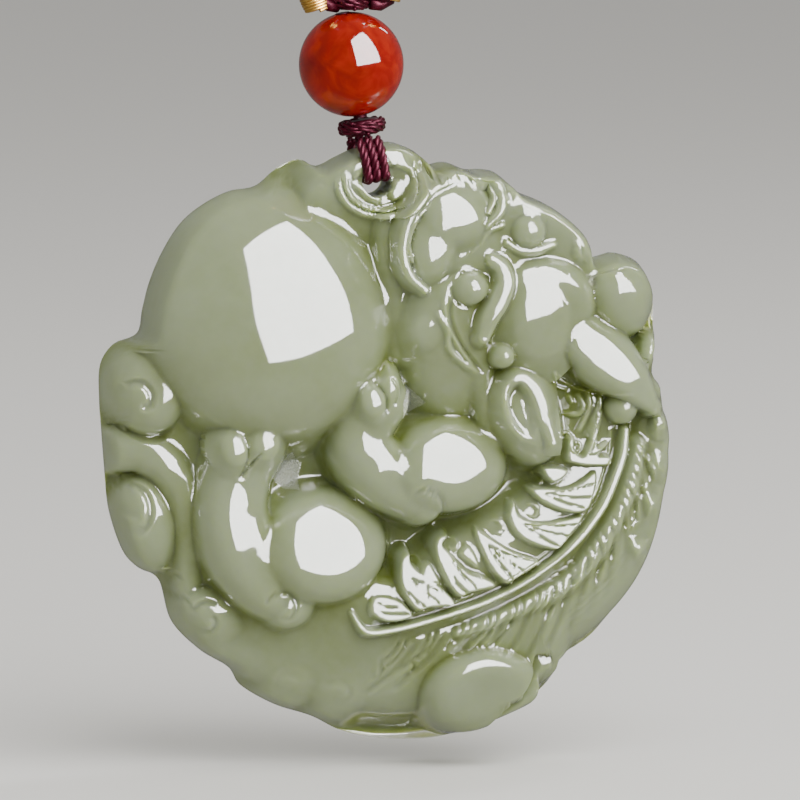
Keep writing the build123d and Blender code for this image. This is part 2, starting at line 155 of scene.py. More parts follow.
MOUNDS = {
    "ball": Mound(270, 314, 129, 129, 0, 7.6, 0.5, 0.3, (0.03, -0.25), 2.3),
    "head": Mound(474, 304, 82, 92, 0, 4.9, 0.6, 1.0, (0, 0.10), 4.5),
    "crown": Mound(538, 240, 72, 52, -35, 4.6, 0.4, 0.8, (-0.04, 0.18), 12),
    "muzzle": Mound(540, 308, 58, 52, 0, 5.6, 2.5, 1.0, (-0.04, 0.10), 6),
    "snout": Mound(540, 323, 30, 38, 4, 6.5, 5.75, 0.8, (-0.06, -0.05), 2),
    "far_eye": Mound(529, 232, 17, 17, 0, 6.3, 4.8, 0.25, (0, -0.1)),
    "near_eye": Mound(472, 289, 17, 17, 0, 7.1, 5.4, 0.25, (0, -0.15)),
    "cheek": Mound(444, 350, 48, 80, 10, 5.4, 2.0, 2.6, (0, 0.12), 3),
    "jaw_knob": Mound(425, 333, 15, 17, 0, 5.7, 5.0, 0.8, (0, 0)),
    "nose_knob": Mound(503, 357, 12, 12, 0, 7.2, 5.4, 0.5),
    "ear_bed": Mound(452, 228, 50, 56, 30, 5.4, 3.2, 0.5, (0, -0.10), 6),
    "eye_socket": Mound(464, 297, 32, 24, 0, 5.6, 4.6, 0.8, (0, 0.2), 4),
    "ear_upper": Mound(454, 219, 32, 27, -20, 6.2, 5.2, 0.6, (0, -0.14), 2.8),
    "ear_lower": Mound(435, 243, 22, 35, -15, 6.3, 5.2, 0.6, (0, -0.24), 2.8),
    "brow_end": Mound(578, 250, 14, 15, 0, 4.9, 2.4, 0.4),
    "muzzle_ball": Mound(617, 297, 39, 45, 14, 5.2, 0.6, 0.5, (0, 0.06), 2.4),
    "chin_drop": Mound(524, 415, 37, 54, 24, 6.7, 2.2, 1.4, (0, -0.1), 2.4),
    "front_haunch": Mound(324, 543, 68, 60, 0, 6.9, 1.6, 1.9, (-0.18, -0.28), 4.4),
    "rear_haunch": Mound(448, 463, 64, 50, 0, 6.6, 1.8, 1.7, (-0.16, -0.20), 4),
    "toe_1": Mound(236, 449, 15, 18, 10, 7.0, 6.0, 0.6, (0, -0.25)),
    "toe_2": Mound(267, 442, 15, 19, -8, 7.0, 6.0, 0.6, (0, -0.25)),
    "toe_3": Mound(373, 402, 13, 17, 12, 7.2, 6.2, 0.5, (0, -0.25)),
    "toe_4": Mound(391, 388, 9, 14, -8, 6.7, 5.8, 0.4, (0, -0.1)),
    "scroll_left": Mound(290, 687, 26, 23, 0, 2.5, 1.2, 1.2, (0, 0.4)),
    "scroll_right": Mound(338, 697, 28, 24, 0, 2.6, 1.2, 1.2, (0, 0.4)),
    "side_lobe": Mound(213, 613, 34, 27, -35, 3.9, 1.2, 0.5),
    "upper_curl": Mound(147, 386, 43, 51, 0, 3.8, -1.2, 0.3, (0.3, -0.28), 2.6),
    "lower_curl": Mound(147, 524, 36, 54, 8, 3.3, -1.2, 0.3, (0, 0.05), 2.4),
    "rim_leaf_1": Mound(647, 352, 11, 18, -12, 3.3, 0.8, 0.2),
    "rim_leaf_2": Mound(653, 388, 11, 18, -12, 3.3, 0.8, 0.2),
    "rim_leaf_3": Mound(656, 424, 11, 18, 0, 4.0, 0.8, 0.2),
    "rim_leaf_4": Mound(655, 466, 11, 18, 8, 4.0, 0.8, 0.2),
    "rim_leaf_5": Mound(649, 505, 11, 18, 16, 4.0, 0.8, 0.2),
    "rim_leaf_6": Mound(635, 548, 11, 18, 24, 4.0, 0.8, 0.2),
    "top_lobe_left": Mound(292, 181, 36, 20, 14, -1.2, -3.2, 0.4),
    "top_lobe_right": Mound(446, 184, 30, 22, -8, -0.6, -3.2, 0.4),
    "low_lobe": Mound(522, 690, 36, 24, 50, -1.6, -3.2, 0.2),
    "coin_shoulder": Mound(352, 206, 60, 46, 20, 2.6, 0.4, 0.6, (0.05, 0.10), 5),
    "coin": Mound(379.5, 181, 46, 40, 0, 2.7, 1.0, 0.1, (0, -0.04), 8),
}

# Masses that stand clear over the fine lines round them.
TOP_MOUNDS = {
    "lower_haunch": Mound(480, 691, 64, 46, 4, 5.4, 0.6, 0.12, (-0.15, 0.30), 6),
    "wing_knob": Mound(622, 408, 17, 17, 0, 5.5, 3.0, 0.15),
}

# Points of a limb: pixel place, radius in pixels and crest in millimetres.
LIMBS = {
    "lower_body": Limb(4.0, 1.2, (0, 0.2), 5, [
        (228, 626, 38, 2.9), (290, 636, 62, 3.5), (345, 640, 74, 3.8), (420, 648, 70, 3.8),
        (520, 640, 50, 3.4)]),
    "valley": Limb(2.5, 1.2, (0, 0), 2.4, [
        (388, 222, 16, 3.6), (390, 255, 18, 4.0), (394, 300, 20, 4.2), (400, 350, 22, 4.0)]),
    "jaw_fill": Limb(2.5, 1.2, (0, 0), 2.4, [
        (480, 372, 14, 4.8), (484, 400, 16, 4.9), (492, 436, 16, 4.6)]),
    "wing_bed": Limb(2.4, 0.6, (0, 0.08), 2.4, [
        (385, 612, 14, 4.2), (405, 606, 26, 4.4), (460, 583, 46, 4.7), (535, 545, 52, 4.6),
        (578, 500, 50, 4.0), (590, 450, 44, 3.3), (592, 415, 36, 3.1)]),
    "outer_wing": Limb(4.2, 1.0, (0, 0.10), 2.4, [
        (650, 350, 18, 1.8), (653, 400, 24, 2.4), (645, 450, 34, 3.0), (628, 510, 44, 3.6),
        (596, 562, 50, 3.8), (548, 606, 50, 3.9), (480, 634, 40, 3.8)]),
    "front_arm": Limb(5.0, 1.5, (0, -0.25), 3, [
        (248, 444, 42, 6.25), (236, 475, 38, 6.0), (232, 510, 40, 6.35), (242, 545, 42, 6.75),
        (262, 575, 40, 6.75), (284, 596, 32, 6.0)]),
    "rear_arm": Limb(4.8, 1.4, (0.05, -0.05), 2.8, [
        (377, 400, 33, 6.3), (362, 424, 36, 6.2), (362, 448, 38, 6.4), (381, 474, 37, 6.8),
        (417, 499, 26, 6.2)]),
    "shoulder_leaf": Limb(4.2, 0.3, (-0.15, -0.25), 3.4, [
        (582, 338, 30, 5.8), (604, 356, 34, 6.1), (629, 380, 24, 6.2), (650, 405, 8, 5.3)]),
    "brow": Limb(0.8, 0.5, (0.05, -0.3), 3.4, [
        (491, 260, 6, 6.0), (502, 270, 8, 6.5), (505, 284, 9, 6.9), (499, 302, 10, 7.15),
        (490, 318, 9, 7.3), (483, 338, 6, 7.3)]),
    "smile": Limb(0.4, 0.3, (0, -0.3), 3, [
        (506, 243, 3, 5.3), (519, 250, 4.5, 5.5), (535, 251, 4.5, 5.5), (553, 245, 3, 5.1)]),
    "band": Limb(3.0, 0.5, (0, -0.1), 2.4, [
        (112, 450, 22, 1.8), (146, 450, 25, 2.8), (172, 470, 23, 3.3), (187, 515, 18, 3.2),
        (188, 585, 14, 2.4)]),
    "spine": Limb(0.35, 0.12, (0, -0.3), 5, [
        (626, 430, 3, 4.1), (624, 453, 4, 4.35), (616, 477, 4.2, 4.65), (605, 503, 4, 4.95),
        (589, 527, 3.6, 5.2), (572, 546, 3.4, 5.35), (548, 566, 3, 5.4), (520, 585, 2.6, 5.45),
        (483, 603, 2.4, 5.45), (437, 618, 2.4, 5.5), (400, 628, 2.4, 5.5), (372, 632, 2.4, 5.45),
        (362, 627, 2.4, 5.2), (352, 612, 2.2, 4.7)]),
    "feather_roots": Limb(0.45, 0.35, (0.1, -0.3), 3.4, [
        (640, 446, 4, 4.3), (631, 486, 8, 4.7), (619, 513, 7, 4.9), (601, 545, 9, 5.0),
        (574, 578, 7, 5.0), (544, 597, 8, 5.0), (513, 611, 6, 4.9), (486, 622, 6, 4.8),
        (459, 632, 4, 4.6)]),
    "ear_rim": Limb(0.5, 0.25, (0.1, -0.3), 3, [
        (425, 291, 4, 6.6), (409, 275, 5, 6.6), (403, 250, 5, 6.4), (409, 222, 5, 6.0),
        (424, 200, 4.5, 5.6), (445, 184, 4.5, 5.1), (470, 175, 4.5, 4.6), (490, 179, 4.5, 4.6),
        (501, 193, 4.5, 5.1), (500, 212, 4.5, 5.7), (487, 226, 3.5, 5.8)]),
    "ear_inner_rim": Limb(0.3, 0.12, (0.1, -0.3), 3, [
        (412, 262, 2.2, 6.1), (409, 245, 2.2, 6.1), (415, 224, 2.2, 5.9), (430, 205, 2.2, 5.5),
        (450, 191, 2.2, 5.0), (472, 183, 2.2, 4.5), (488, 188, 2.2, 4.5), (494, 200, 2.2, 5.1),
        (488, 214, 2.2, 5.7)]),
    "drop_arch": Limb(0.35, 0.15, (0.05, -0.3), 3, [
        (536, 444, 2.5, 6.4), (521, 436, 2.8, 6.6), (510, 423, 2.8, 6.7), (505, 407, 2.8, 6.7),
        (507, 391, 3, 6.6), (518, 378, 4.5, 6.4), (531, 385, 7, 6.6), (539, 400, 8, 6.8),
        (544, 420, 7, 7.0), (552, 442, 4, 7.15)]),
    "ear_notch": Limb(0.5, 0.12, (0, 0), 2, [
        (502, 226, 3, 5.6), (487, 233, 3, 5.7), (479, 247, 3, 5.7), (457, 261, 3, 5.7),
        (446, 266, 3, 5.6)]),
    "ear_foot": Limb(0.5, 0.12, (0, 0), 2, [
        (447, 262, 3, 5.6), (441, 274, 3.5, 5.8), (428, 280, 3, 5.8), (414, 272, 3, 5.8)]),
}

# Flat-topped feathers inside the spine, and the petals round the coin's square.
FEATHER_LEAN = (0.02, -0.27)
PETAL_LEAN = (0.0, -0.24)
FEATHERS = {
    "a": Plate(5.2, FEATHER_LEAN, [
        (376, 597), (401, 601), (412, 616), (390, 621), (372, 612)]),
    "b": Plate(5.4, FEATHER_LEAN, [
        (411, 554), (403, 562), (403, 588), (416, 608), (430, 606), (453, 603), (444, 590),
        (427, 577), (413, 565)]),
    "b_leaf": Plate(5.2, FEATHER_LEAN, [(430, 564), (439, 583), (422, 575)]),
    "c": Plate(5.4, FEATHER_LEAN, [
        (449, 537), (441, 538), (437, 547), (440, 565), (448, 583), (459, 595), (470, 591),
        (494, 585), (481, 576), (466, 570), (450, 553), (444, 545)]),
    "c_leaf": Plate(5.2, FEATHER_LEAN, [(461, 555), (470, 547), (478, 566)]),
    "d": Plate(5.4, FEATHER_LEAN, [
        (479, 530), (478, 538), (483, 552), (490, 567), (500, 578), (508, 583), (519, 576),
        (530, 570), (539, 562), (524, 556), (508, 549), (490, 537)]),
    "e": Plate(5.2, FEATHER_LEAN, [
        (516, 504), (511, 511), (510, 522), (518, 535), (530, 542), (545, 547), (557, 548),
        (565, 541), (583, 518), (566, 520), (548, 523), (532, 522), (519, 515)]),
    "f": Plate(4.9, FEATHER_LEAN, [
        (533, 490), (541, 500), (554, 507), (572, 512), (585, 510), (592, 500), (597, 474),
        (581, 484), (566, 490), (548, 489)]),
    "f_leaf": Plate(4.6, FEATHER_LEAN, [(544, 468), (568, 471), (553, 482)]),
    "g": Plate(4.4, FEATHER_LEAN, [
        (570, 440), (568, 459), (575, 463), (588, 465), (609, 464), (608, 457), (598, 456),
        (608, 444), (597, 447), (605, 412), (597, 425), (590, 446), (583, 457), (575, 452),
        (574, 441)]),
}
PETALS = {
    "upper_left": Plate(3.05, PETAL_LEAN, [
        (372, 161), (364, 163), (355, 166), (352, 171), (352, 176), (356, 178), (364, 173), (372, 168)]),
    "upper_right": Plate(2.95, PETAL_LEAN, [
        (380, 159), (390, 158), (403, 161), (408, 166), (411, 172), (400, 169), (390, 166), (382, 168)]),
    "lower_right": Plate(3.05, PETAL_LEAN, [
        (396, 183), (408, 180), (409, 183), (408, 188), (403, 195), (398, 200), (393, 201), (390, 193),
        (394, 188)]),
    "lower_left": Plate(3.05, PETAL_LEAN, [
        (352, 178), (355, 184), (362, 186), (370, 189), (377, 194), (381, 200), (379, 204), (371, 202),
        (365, 198), (359, 192), (354, 186)]),
}

# Low lobes of the back layer that show past the front: they cut whatever stands over them.
LEDGES = {
    "low_right": Plate(2.1, (0, 0.1), [
        (534, 655), (546, 655), (562, 653), (592, 648), (590, 702), (532, 742), (488, 744),
        (489, 722), (506, 707), (521, 690), (530, 672)]),
    "top_left": Plate(1.4, (0.05, 0.04), [
        (250, 194), (262, 178), (292, 156), (314, 160), (322, 170), (312, 184), (285, 187), (262, 193)]),
    "top_right": Plate(2.4, (0, 0.05), [
        (427, 172), (430, 158), (448, 157), (467, 163), (465, 169), (452, 170), (440, 173), (430, 178)]),
}

# Raised (+) and cut (-) lines: half width in pixels, height in millimetres, depth of the place.
STROKES = {
    "inner_line": Stroke(2.2, 0.16, 4.8, [
        (615, 429), (614, 449), (609, 467), (602, 488), (595, 503), (586, 516), (570, 535), (548, 553),
        (522, 570), (490, 587), (452, 603), (410, 616), (385, 622)]),
    "inner_channel": Stroke(4.5, -0.25, 5.0, [
        (620, 432), (618, 452), (610, 475), (599, 500), (583, 523), (566, 541), (544, 560), (517, 578),
        (481, 596), (436, 611), (398, 621), (374, 625)]),
    "outer_channel": Stroke(7.0, -0.30, 4.6, [
        (635, 440), (632, 460), (624, 484), (612, 511), (596, 535), (578, 556), (553, 577), (524, 596),
        (486, 614), (440, 629), (400, 640)]),
    "cheek_line_1": Stroke(2.6, 0.22, 6.0, [
        (446, 299), (445, 312), (450, 331), (460, 348), (479, 375)]),
    "cheek_line_2": Stroke(3.6, 0.34, 6.0, [
        (437, 312), (447, 331), (449, 347), (457, 358), (479, 375)]),
    "cheek_cut": Stroke(3.5, -0.30, 6.0, [(452, 300), (451, 318), (458, 338), (468, 354), (486, 375)]),
    "lid_top": Stroke(2.0, 0.16, 6.8, [(455, 282), (462, 274), (472, 272), (482, 277)]),
    "lid_side": Stroke(1.8, 0.12, 6.8, [(489, 284), (491, 296), (484, 306)]),
    "eye_cut": Stroke(2.6, -0.25, 6.2, [(452, 288), (456, 301), (468, 307), (480, 304), (488, 295)]),
    "far_lid_1": Stroke(2.0, 0.14, 5.5, [(521, 240), (531, 242), (540, 238)]),
    "far_lid_2": Stroke(3.4, 0.10, 5.2, [(520, 210), (531, 206), (546, 214)]),
    "far_lid_3": Stroke(1.8, 0.12, 5.0, [(543, 224), (552, 222), (556, 230)]),
    "toe_cut_1": Stroke(2.6, -0.40, 6.6, [(246, 436), (250, 448), (249, 462), (243, 478)]),
    "toe_cut_2": Stroke(2.4, -0.35, 6.6, [(262, 452), (254, 464), (244, 478)]),
    "toe_cut_3": Stroke(2.6, -0.40, 6.6, [(374, 382), (386, 394), (388, 414)]),
    "toe_cut_4": Stroke(2.2, -0.30, 6.4, [(392, 378), (398, 390), (395, 406)]),
    "leaf_line": Stroke(2.0, 0.18, 5.0, [(553, 371), (566, 382), (584, 391), (606, 394), (630, 394)]),
    "hair_1": Stroke(3.2, 0.45, 4.8, [(592, 393), (593, 408), (588, 421), (582, 434)]),
    "hair_2": Stroke(3.4, 0.50, 4.8, [(604, 394), (603, 408), (597, 423), (591, 440)]),
    "hair_3": Stroke(3.2, 0.45, 4.8, [(581, 395), (587, 407), (582, 416), (568, 415)]),
    "hair_4": Stroke(3.0, 0.40, 4.8, [(573, 396), (577, 406)]),
    "hair_frame_1": Stroke(2.2, 0.28, 4.8, [(557, 407), (559, 436), (572, 435), (580, 447)]),
    "hair_frame_2": Stroke(2.2, 0.28, 4.8, [(553, 372), (561, 388), (573, 393)]),
    "curl_groove_1": Stroke(6.0, -0.40, 3.4, [
        (176, 428), (164, 438), (144, 438), (128, 426), (121, 406), (128, 389), (143, 383), (153, 393),
        (151, 405), (143, 407)]),
    "curl_groove_2": Stroke(5.0, -0.36, 3.2, [
        (130, 532), (146, 529), (153, 510), (148, 492), (133, 485), (121, 492), (121, 506), (131, 513),
        (140, 508)]),
    "haunch_hook_1": Stroke(4.0, -0.24, 6.2, [
        (266, 602), (274, 594), (290, 592), (298, 604), (292, 617), (281, 618)]),
    "haunch_hook_2": Stroke(3.6, -0.26, 6.2, [
        (446, 512), (441, 500), (432, 491), (421, 489), (413, 494)]),
}

# The fine lines of the inner feathers: a tip, the roots that its lines run to and their half width.
FAN_DEPTH, FAN_OUT, FAN_SAG = -0.22, 5.0, 2
FANS = (
    ((376, 604), [(404, 606)], 1.3), ((374, 610), [(409, 613)], 1.3),
    ((411, 578), [(444, 592), (438, 603)], 1.3), ((405, 590), [(424, 606)], 1.2),
    ((452, 560), [(482, 578), (474, 588)], 1.3), ((450, 575), [(466, 592)], 1.2),
    ((488, 546), [(533, 560), (524, 572), (512, 580)], 1.3),
    ((524, 524), [(577, 524), (570, 536), (558, 546)], 1.3),
    ((546, 494), [(595, 484), (593, 497), (584, 508)], 1.3),
    ((590, 455), [(606, 449), (603, 430)], 1.2),
)

# The outer feathers: their number, the first one's place along the spine and the share of the
# spine that they take, how far they reach and where the longest one is, how far from the spine
# they start, and where each one bends: outwards as a share of its reach, and along the spine.
OUTER_FEATHERS = 15
OUTER_START, OUTER_SPAN = 0.02, 0.86
OUTER_OUT = 4.4
OUTER_REACH, OUTER_TAPER, OUTER_LONGEST = 5.4, 3.4, 0.62
OUTER_GAP = 1.6
OUTER_BENDS = ((0.4, 2.2), (0.8, 5.6))
OUTER_WIDTH, OUTER_DEPTH = 0.5, -0.22

# The barbs between them: how far apart and how unevenly they start, their length and how much it
# varies, and where each one bends, outwards and along, as shares of its length.
BARB_STEP, BARB_WANDER, BARB_BACK = 0.75, 0.2, 0.5
BARB_LENGTH, BARB_VARIES = 1.9, 0.6
BARB_BENDS = ((0.6, 0.5), (1.0, 1.4))
BARB_WIDTH, BARB_DEPTH = 0.24, -0.24

# The bowl in the chin's drop: place, turn in degrees, half length, half width and depth.
Bowl = namedtuple("Bowl", "px py out turn half_long half_wide depth")
CHIN_BOWL = Bowl(521, 410, 6.6, -68, 2.7, 1.0, 0.40)

# The coin's face: two flat-topped rings, of half sizes and width in pixels, round a sunk field
# that is level to one share of its half size and ends at another.
Ring = namedtuple("Ring", "half_x half_y width rise lean")
COIN_MIDDLE = (379.5, 181, 2.8)
COIN_RINGS = (Ring(42.0, 36.0, 3.6, 0.42, 0.10), Ring(34.6, 30.0, 2.7, 0.40, 0.10))
RING_EDGE = 1.3
FIELD_HALF_X, FIELD_HALF_Y, FIELD_DEPTH = 33, 28, 0.28
FIELD_LEVEL, FIELD_END = 1 / 2, 5 / 6

# A ledge's floor rises to its middle, and the forms round it fall to it as a wall.
LEDGE_RISE, LEDGE_RISE_WIDTH, LEDGE_WALL, LEDGE_MARGIN = 0.5, 0.8, 14, 0.6

# The points read from each span of a cord's spline, and the corners of one turn of a winding.
SPLINE_STEPS = 160
CORNERS_A_TURN = 8

# The bail strands' control points: in front of the hinge line and up from the hole, in millimetres.
BAIL_ROUTE = ((1.88, 3.61), (3.0, 2.98), (3.0, 0.9), (3.0, 0.324), (2.0, 0.324), (-2.0, 0.324),
              (-2.66, 0.324), (-2.66, 0.9), (-2.66, 2.98), (-1.88, 3.61))
BAIL_PITCH = 0.76
BAIL_LAY = 2.3
BAIL_PLY = 0.23
BAIL_TWIST = 0.20

# The knots: radius of the wound strand and the lay of its two plies. Each winding is given by how
# far it is sunk, its pitch and how far it is drawn in at its ends. The core fills what is left.
KNOT_STRAND = 0.30
KNOT_LAY = 1.9
KNOT_PLY_SHARE, KNOT_TWIST_SHARE = 0.54, 0.46
KNOT_WINDINGS = ((0.30, 0.52, 0.16), (0.72, 0.86, 0.12))
KNOT_CORE = 0.63
CORE_PLACES = (0.04, 0.5, 0.96)

# The gold thread: radius, pitch of its turns and how far the sleeve is drawn in at its ends.
GOLD_THREAD = 0.14
GOLD_PITCH = 0.266
GOLD_HOLLOW = 0.2

# The neck loop: corners of the route round its arc, and the last points before each end, along the
# run from its foot and beside it in the knot.
ARC_CORNERS = 7
RUN_POINTS = (-2.4, -0.9)
KNOT_END = Vector((-1.7, 0, 0.9))

# Sizes of the patterns in the stones and threads, in millimetres: clouds, grains and grit in
# the jade, clouds and dark patches in the agate, the width and relief of the thickest filaments in
# the silk and in the gold, and the length that a filament shows for.
JADE_CLOUD, JADE_GRAIN, JADE_GRIT = 6.25, 1.11, 0.192
AGATE_CLOUD, AGATE_PATCH = 3.03, 5.56
SILK_FIBRE, SILK_RELIEF = 0.09, 0.04
GOLD_FIBRE, GOLD_RELIEF = 0.055, 0.03
FIBRE_RUN = 0.833

# Hooked feather tips and cloud curls: spirals by middle, first and last radius and turns.
Spiral = namedtuple("Spiral", "px py first last start turns width height out")
SPIRALS = {
    "hook_b": Spiral(418, 563, 7, 3, 150, -0.85, 1.8, 0.24, 4.8),
    "hook_c": Spiral(453, 545, 8, 3, 150, -0.85, 1.8, 0.24, 4.8),
    "hook_d": Spiral(497, 528, 8, 4, 120, -0.7, 1.7, 0.20, 4.7),
    "hook_e": Spiral(533, 512, 8, 4, 120, -0.7, 1.7, 0.20, 4.8),
    "hook_f": Spiral(540, 479, 8, 3, 200, 0.9, 1.8, 0.24, 4.8),
    "hook_g": Spiral(579, 447, 7, 4, 180, 0.7, 1.8, 0.22, 4.8),
    "curl_3": Spiral(208, 620, 20, 6, 60, 1.0, 4.5, -0.30, 3.4),
    "curl_4": Spiral(378, 668, 9, 4, 200, 0.6, 2.6, -0.22, 3.6),
    "curl_5": Spiral(410, 666, 9, 4, 200, 0.6, 2.6, -0.22, 3.8),
    "curl_6": Spiral(288, 688, 17, 5, 30, 0.9, 4.5, -0.12, 3.2),
    "curl_7": Spiral(340, 696, 18, 5, 150, -0.9, 4.5, -0.12, 3.4),
}

# Matte facets left by the wheel, deep between the limbs: corners in pixels, then the facets' floor
# height, its slope, its grit and the width of its edge. Ripples of about 0.3 mm, in radians a
# millimetre, stand for the grit, drawn as coarse as they need to be to show.
FACETS = {
    "front": [(276, 480), (293, 451), (306, 466), (301, 490), (286, 490)],
    "rear": [(399, 418), (397, 400), (405, 383), (425, 402), (413, 414)],
}
FACET_OUT, FACET_FLOOR, FACET_SLOPE, FACET_GRIT, FACET_EDGE = 3.0, 3.3, 0.45, 0.04, 0.22
RIPPLE_X, RIPPLE_BEND, RIPPLE_SHIFT, RIPPLE_Y = 23.0, 2.1, 17.0, 21.0

# The pendant's outline in the picture, anticlockwise from the left curl's top.
OUTLINE = [
    (141, 336), (118, 345), (104, 366), (103, 400), (105, 430), (108, 470), (112, 510), (125, 550),
    (140, 568), (162, 581), (174, 622), (202, 651), (231, 669), (243, 687), (276, 706), (313, 718),
    (341, 732), (372, 740), (407, 742), (440, 740), (468, 732), (496, 720), (529, 704), (550, 686),
    (557, 672), (556, 663), (590, 642), (612, 618), (631, 593), (646, 562), (656, 528), (662, 496),
    (668, 467), (668, 446), (669, 434), (666, 416), (662, 406), (659, 384), (651, 372), (653, 356),
    (651, 349), (657, 325), (657, 300), (651, 280), (640, 262), (626, 255), (612, 253), (600, 257),
    (589, 259), (583, 238), (571, 222), (545, 203), (514, 190), (505, 182), (495, 172), (480, 170),
    (466, 170), (447, 163), (428, 166), (422, 158), (412, 150), (402, 146), (390, 143), (372, 145),
    (355, 150), (336, 159), (318, 168), (306, 162), (295, 162), (278, 171), (258, 188), (232, 193),
    (205, 207), (183, 226), (165, 255), (153, 284), (146, 312),
]


def on_face(px, py, out):
    """The place on the disc's face, in millimetres from its middle, that the picture shows at a pixel."""
    across = (px - DISC_PX) / PIXELS_PER_MM
    up = (DISC_PY - py) / PIXELS_PER_MM
    turn, tilt = -VIEW_AZIMUTH, VIEW_ELEVATION
    x = (across - out * math.sin(turn)) / math.cos(turn)
    y = (up - x * math.sin(turn) * math.sin(tilt) + out * math.cos(turn) * math.sin(tilt)) / math.cos(tilt)
    return x, y


def smooth_path(points, steps, closed=False):
    """A smooth curve that passes through rows of numbers."""
    rows = np.array(points, float)
    if closed:
        rows = np.vstack([rows[-1], rows, rows[:2]])
    else:
        rows = np.vstack([2 * rows[0] - rows[1], rows, 2 * rows[-1] - rows[-2]])
    t = np.linspace(0, 1, steps, endpoint=False)[:, None]
    spans = []
    for a, b, c, d in zip(rows, rows[1:], rows[2:], rows[3:]):
        spans.append(0.5 * (2 * b + (c - a) * t + (2 * a - 5 * b + 4 * c - d) * t**2
                            + (3 * b - a - 3 * c + d) * t**3))
    if not closed:
        spans.append(rows[-2:-1])
    return np.vstack(spans)


def smooth_step(share):
    """0 below 0, 1 above 1 and an even S between them."""
    share = np.clip(share, 0, 1)
    return share * share * (3 - 2 * share)


def smooth_max(low, high, blend):
    """The higher of two surfaces with a rounded crease."""
    share = np.clip(0.5 + 0.5 * (high - low) / blend, 0, 1)
    return low * (1 - share) + high * share + blend * share * (1 - share)


def dome_profile(reach, flat):
    """1 at the crest and 0 at the edge of a round mass, then on down along its last slope."""
    drop = math.sqrt(1 - DOME_EDGE**flat)
    inside = np.sqrt(np.clip(1 - reach**flat, 0, 1))
    slope = flat / 2 * DOME_EDGE ** (flat - 1) / drop
    return np.where(reach < DOME_EDGE, inside, drop - (reach - DOME_EDGE) * slope)


def turned(x, y, middle, degrees):
    """Offsets from a middle, along and across a turned axis."""
    turn = math.radians(degrees)
    dx, dy = x - middle[0], y - middle[1]
    return dx * math.cos(turn) + dy * math.sin(turn), dy * math.cos(turn) - dx * math.sin(turn)


def near_path(x, y, path, margin):
    """For points near a path: their index, distance, and place along it from 0 to 1."""
    low, high = path[:, :2].min(0) - margin, path[:, :2].max(0) + margin
    index = np.nonzero((x > low[0]) & (x < high[0]) & (y > low[1]) & (y < high[1]))[0]
    best = np.full(len(index), np.inf)
    place = np.zeros(len(index))
    for i, (start, end) in enumerate(zip(path, path[1:])):
        run = end[:2] - start[:2]
        t = ((x[index] - start[0]) * run[0] + (y[index] - start[1]) * run[1]) / max(run @ run, TINY)
        t = np.clip(t, 0, 1)
        gap = np.hypot(x[index] - start[0] - t * run[0], y[index] - start[1] - t * run[1])
        closer = gap < best
        best[closer] = gap[closer]
        place[closer] = (i + t[closer]) / (len(path) - 1)
    return index, best, place


def inside_ring(ring, x, y):
    """Whether points lie inside a closed outline."""
    inside = np.zeros(len(x), bool)
    for (x1, y1), (x2, y2) in zip(ring, np.roll(ring, -1, 0)):
        crosses = (y1 > y) != (y2 > y)
        at = x1 + (y - y1) * (x2 - x1) / (y2 - y1 if y2 != y1 else TINY)
        inside ^= crosses & (x < at)
    return inside


def closed_near(x, y, ring, margin):
    """For points near a closed outline: their index, distance, and whether they lie inside it."""
    index, gap, _ = near_path(x, y, np.vstack([ring, ring[:1]]), margin)
    return index, gap, inside_ring(ring, x[index], y[index])


def raise_mound(height, x, y, row):
    middle = on_face(row.px, row.py, row.foot + MOUND_PLACE * (row.top - row.foot))
    along, across = turned(x, y, middle, row.turn)
    reach = np.hypot(along * PIXELS_PER_MM / row.half_x, across * PIXELS_PER_MM / row.half_y)
    index = np.nonzero(reach < MASS_REACH)[0]
    mass = row.foot + (row.top - row.foot) * dome_profile(reach[index], row.flat)
    mass += row.lean[0] * (x[index] - middle[0]) + row.lean[1] * (y[index] - middle[1])
    height[index] = smooth_max(height[index], mass, row.blend)


def raise_limb(height, x, y, row):
    rows = [(*on_face(px, py, out - LIMB_PLACE * row.rise), radius / PIXELS_PER_MM, out)
            for px, py, radius, out in row.points]
    path = smooth_path(rows, steps=12)
    widest = path[:, 2].max()
    index, gap, place = near_path(x, y, path, widest * MASS_REACH)
    steps = np.linspace(0, 1, len(path))
    middle_x, middle_y, radius, crest = (np.interp(place, steps, path[:, i]) for i in range(4))
    rise = row.rise * radius / widest
    mass = crest - rise + rise * dome_profile(gap / radius, row.flat)
    mass += row.lean[0] * (x[index] - middle_x) + row.lean[1] * (y[index] - middle_y)
    height[index] = smooth_max(height[index], mass, row.blend)


def raise_plate(height, x, y, row):
    corners = np.array([on_face(px, py, row.out) for px, py in row.points])
    middle = corners.mean(0)
    index, gap, inside = closed_near(x, y, smooth_path(corners, steps=4, closed=True), PLATE_REACH)
    top = row.out + row.lean[0] * (x[index] - middle[0]) + row.lean[1] * (y[index] - middle[1])
    near = np.clip(gap / PLATE_EDGE, 0, 1)
    drop = np.where(inside, PLATE_DROP * (1 - near) ** 2, PLATE_DROP + PLATE_FALL * gap / PLATE_EDGE)
    height[index] = smooth_max(height[index], top - drop, PLATE_BLEND)


def draw_stroke(height, x, y, path, width, depth):
    """Raises a rounded line by a depth, or cuts a groove where the depth is negative."""
    index, gap, place = near_path(x, y, path, width)
    ends = np.clip(np.minimum(place, 1 - place) / STROKE_END, 0, 1)
    profile = np.clip(1 - (gap / width) ** (4 if depth > 0 else 2), 0, 1) ** 2
    height[index] += depth * profile * np.sqrt(ends)


def stroke_path(points, out):
    return smooth_path([on_face(px, py, out) for px, py in points], steps=6)


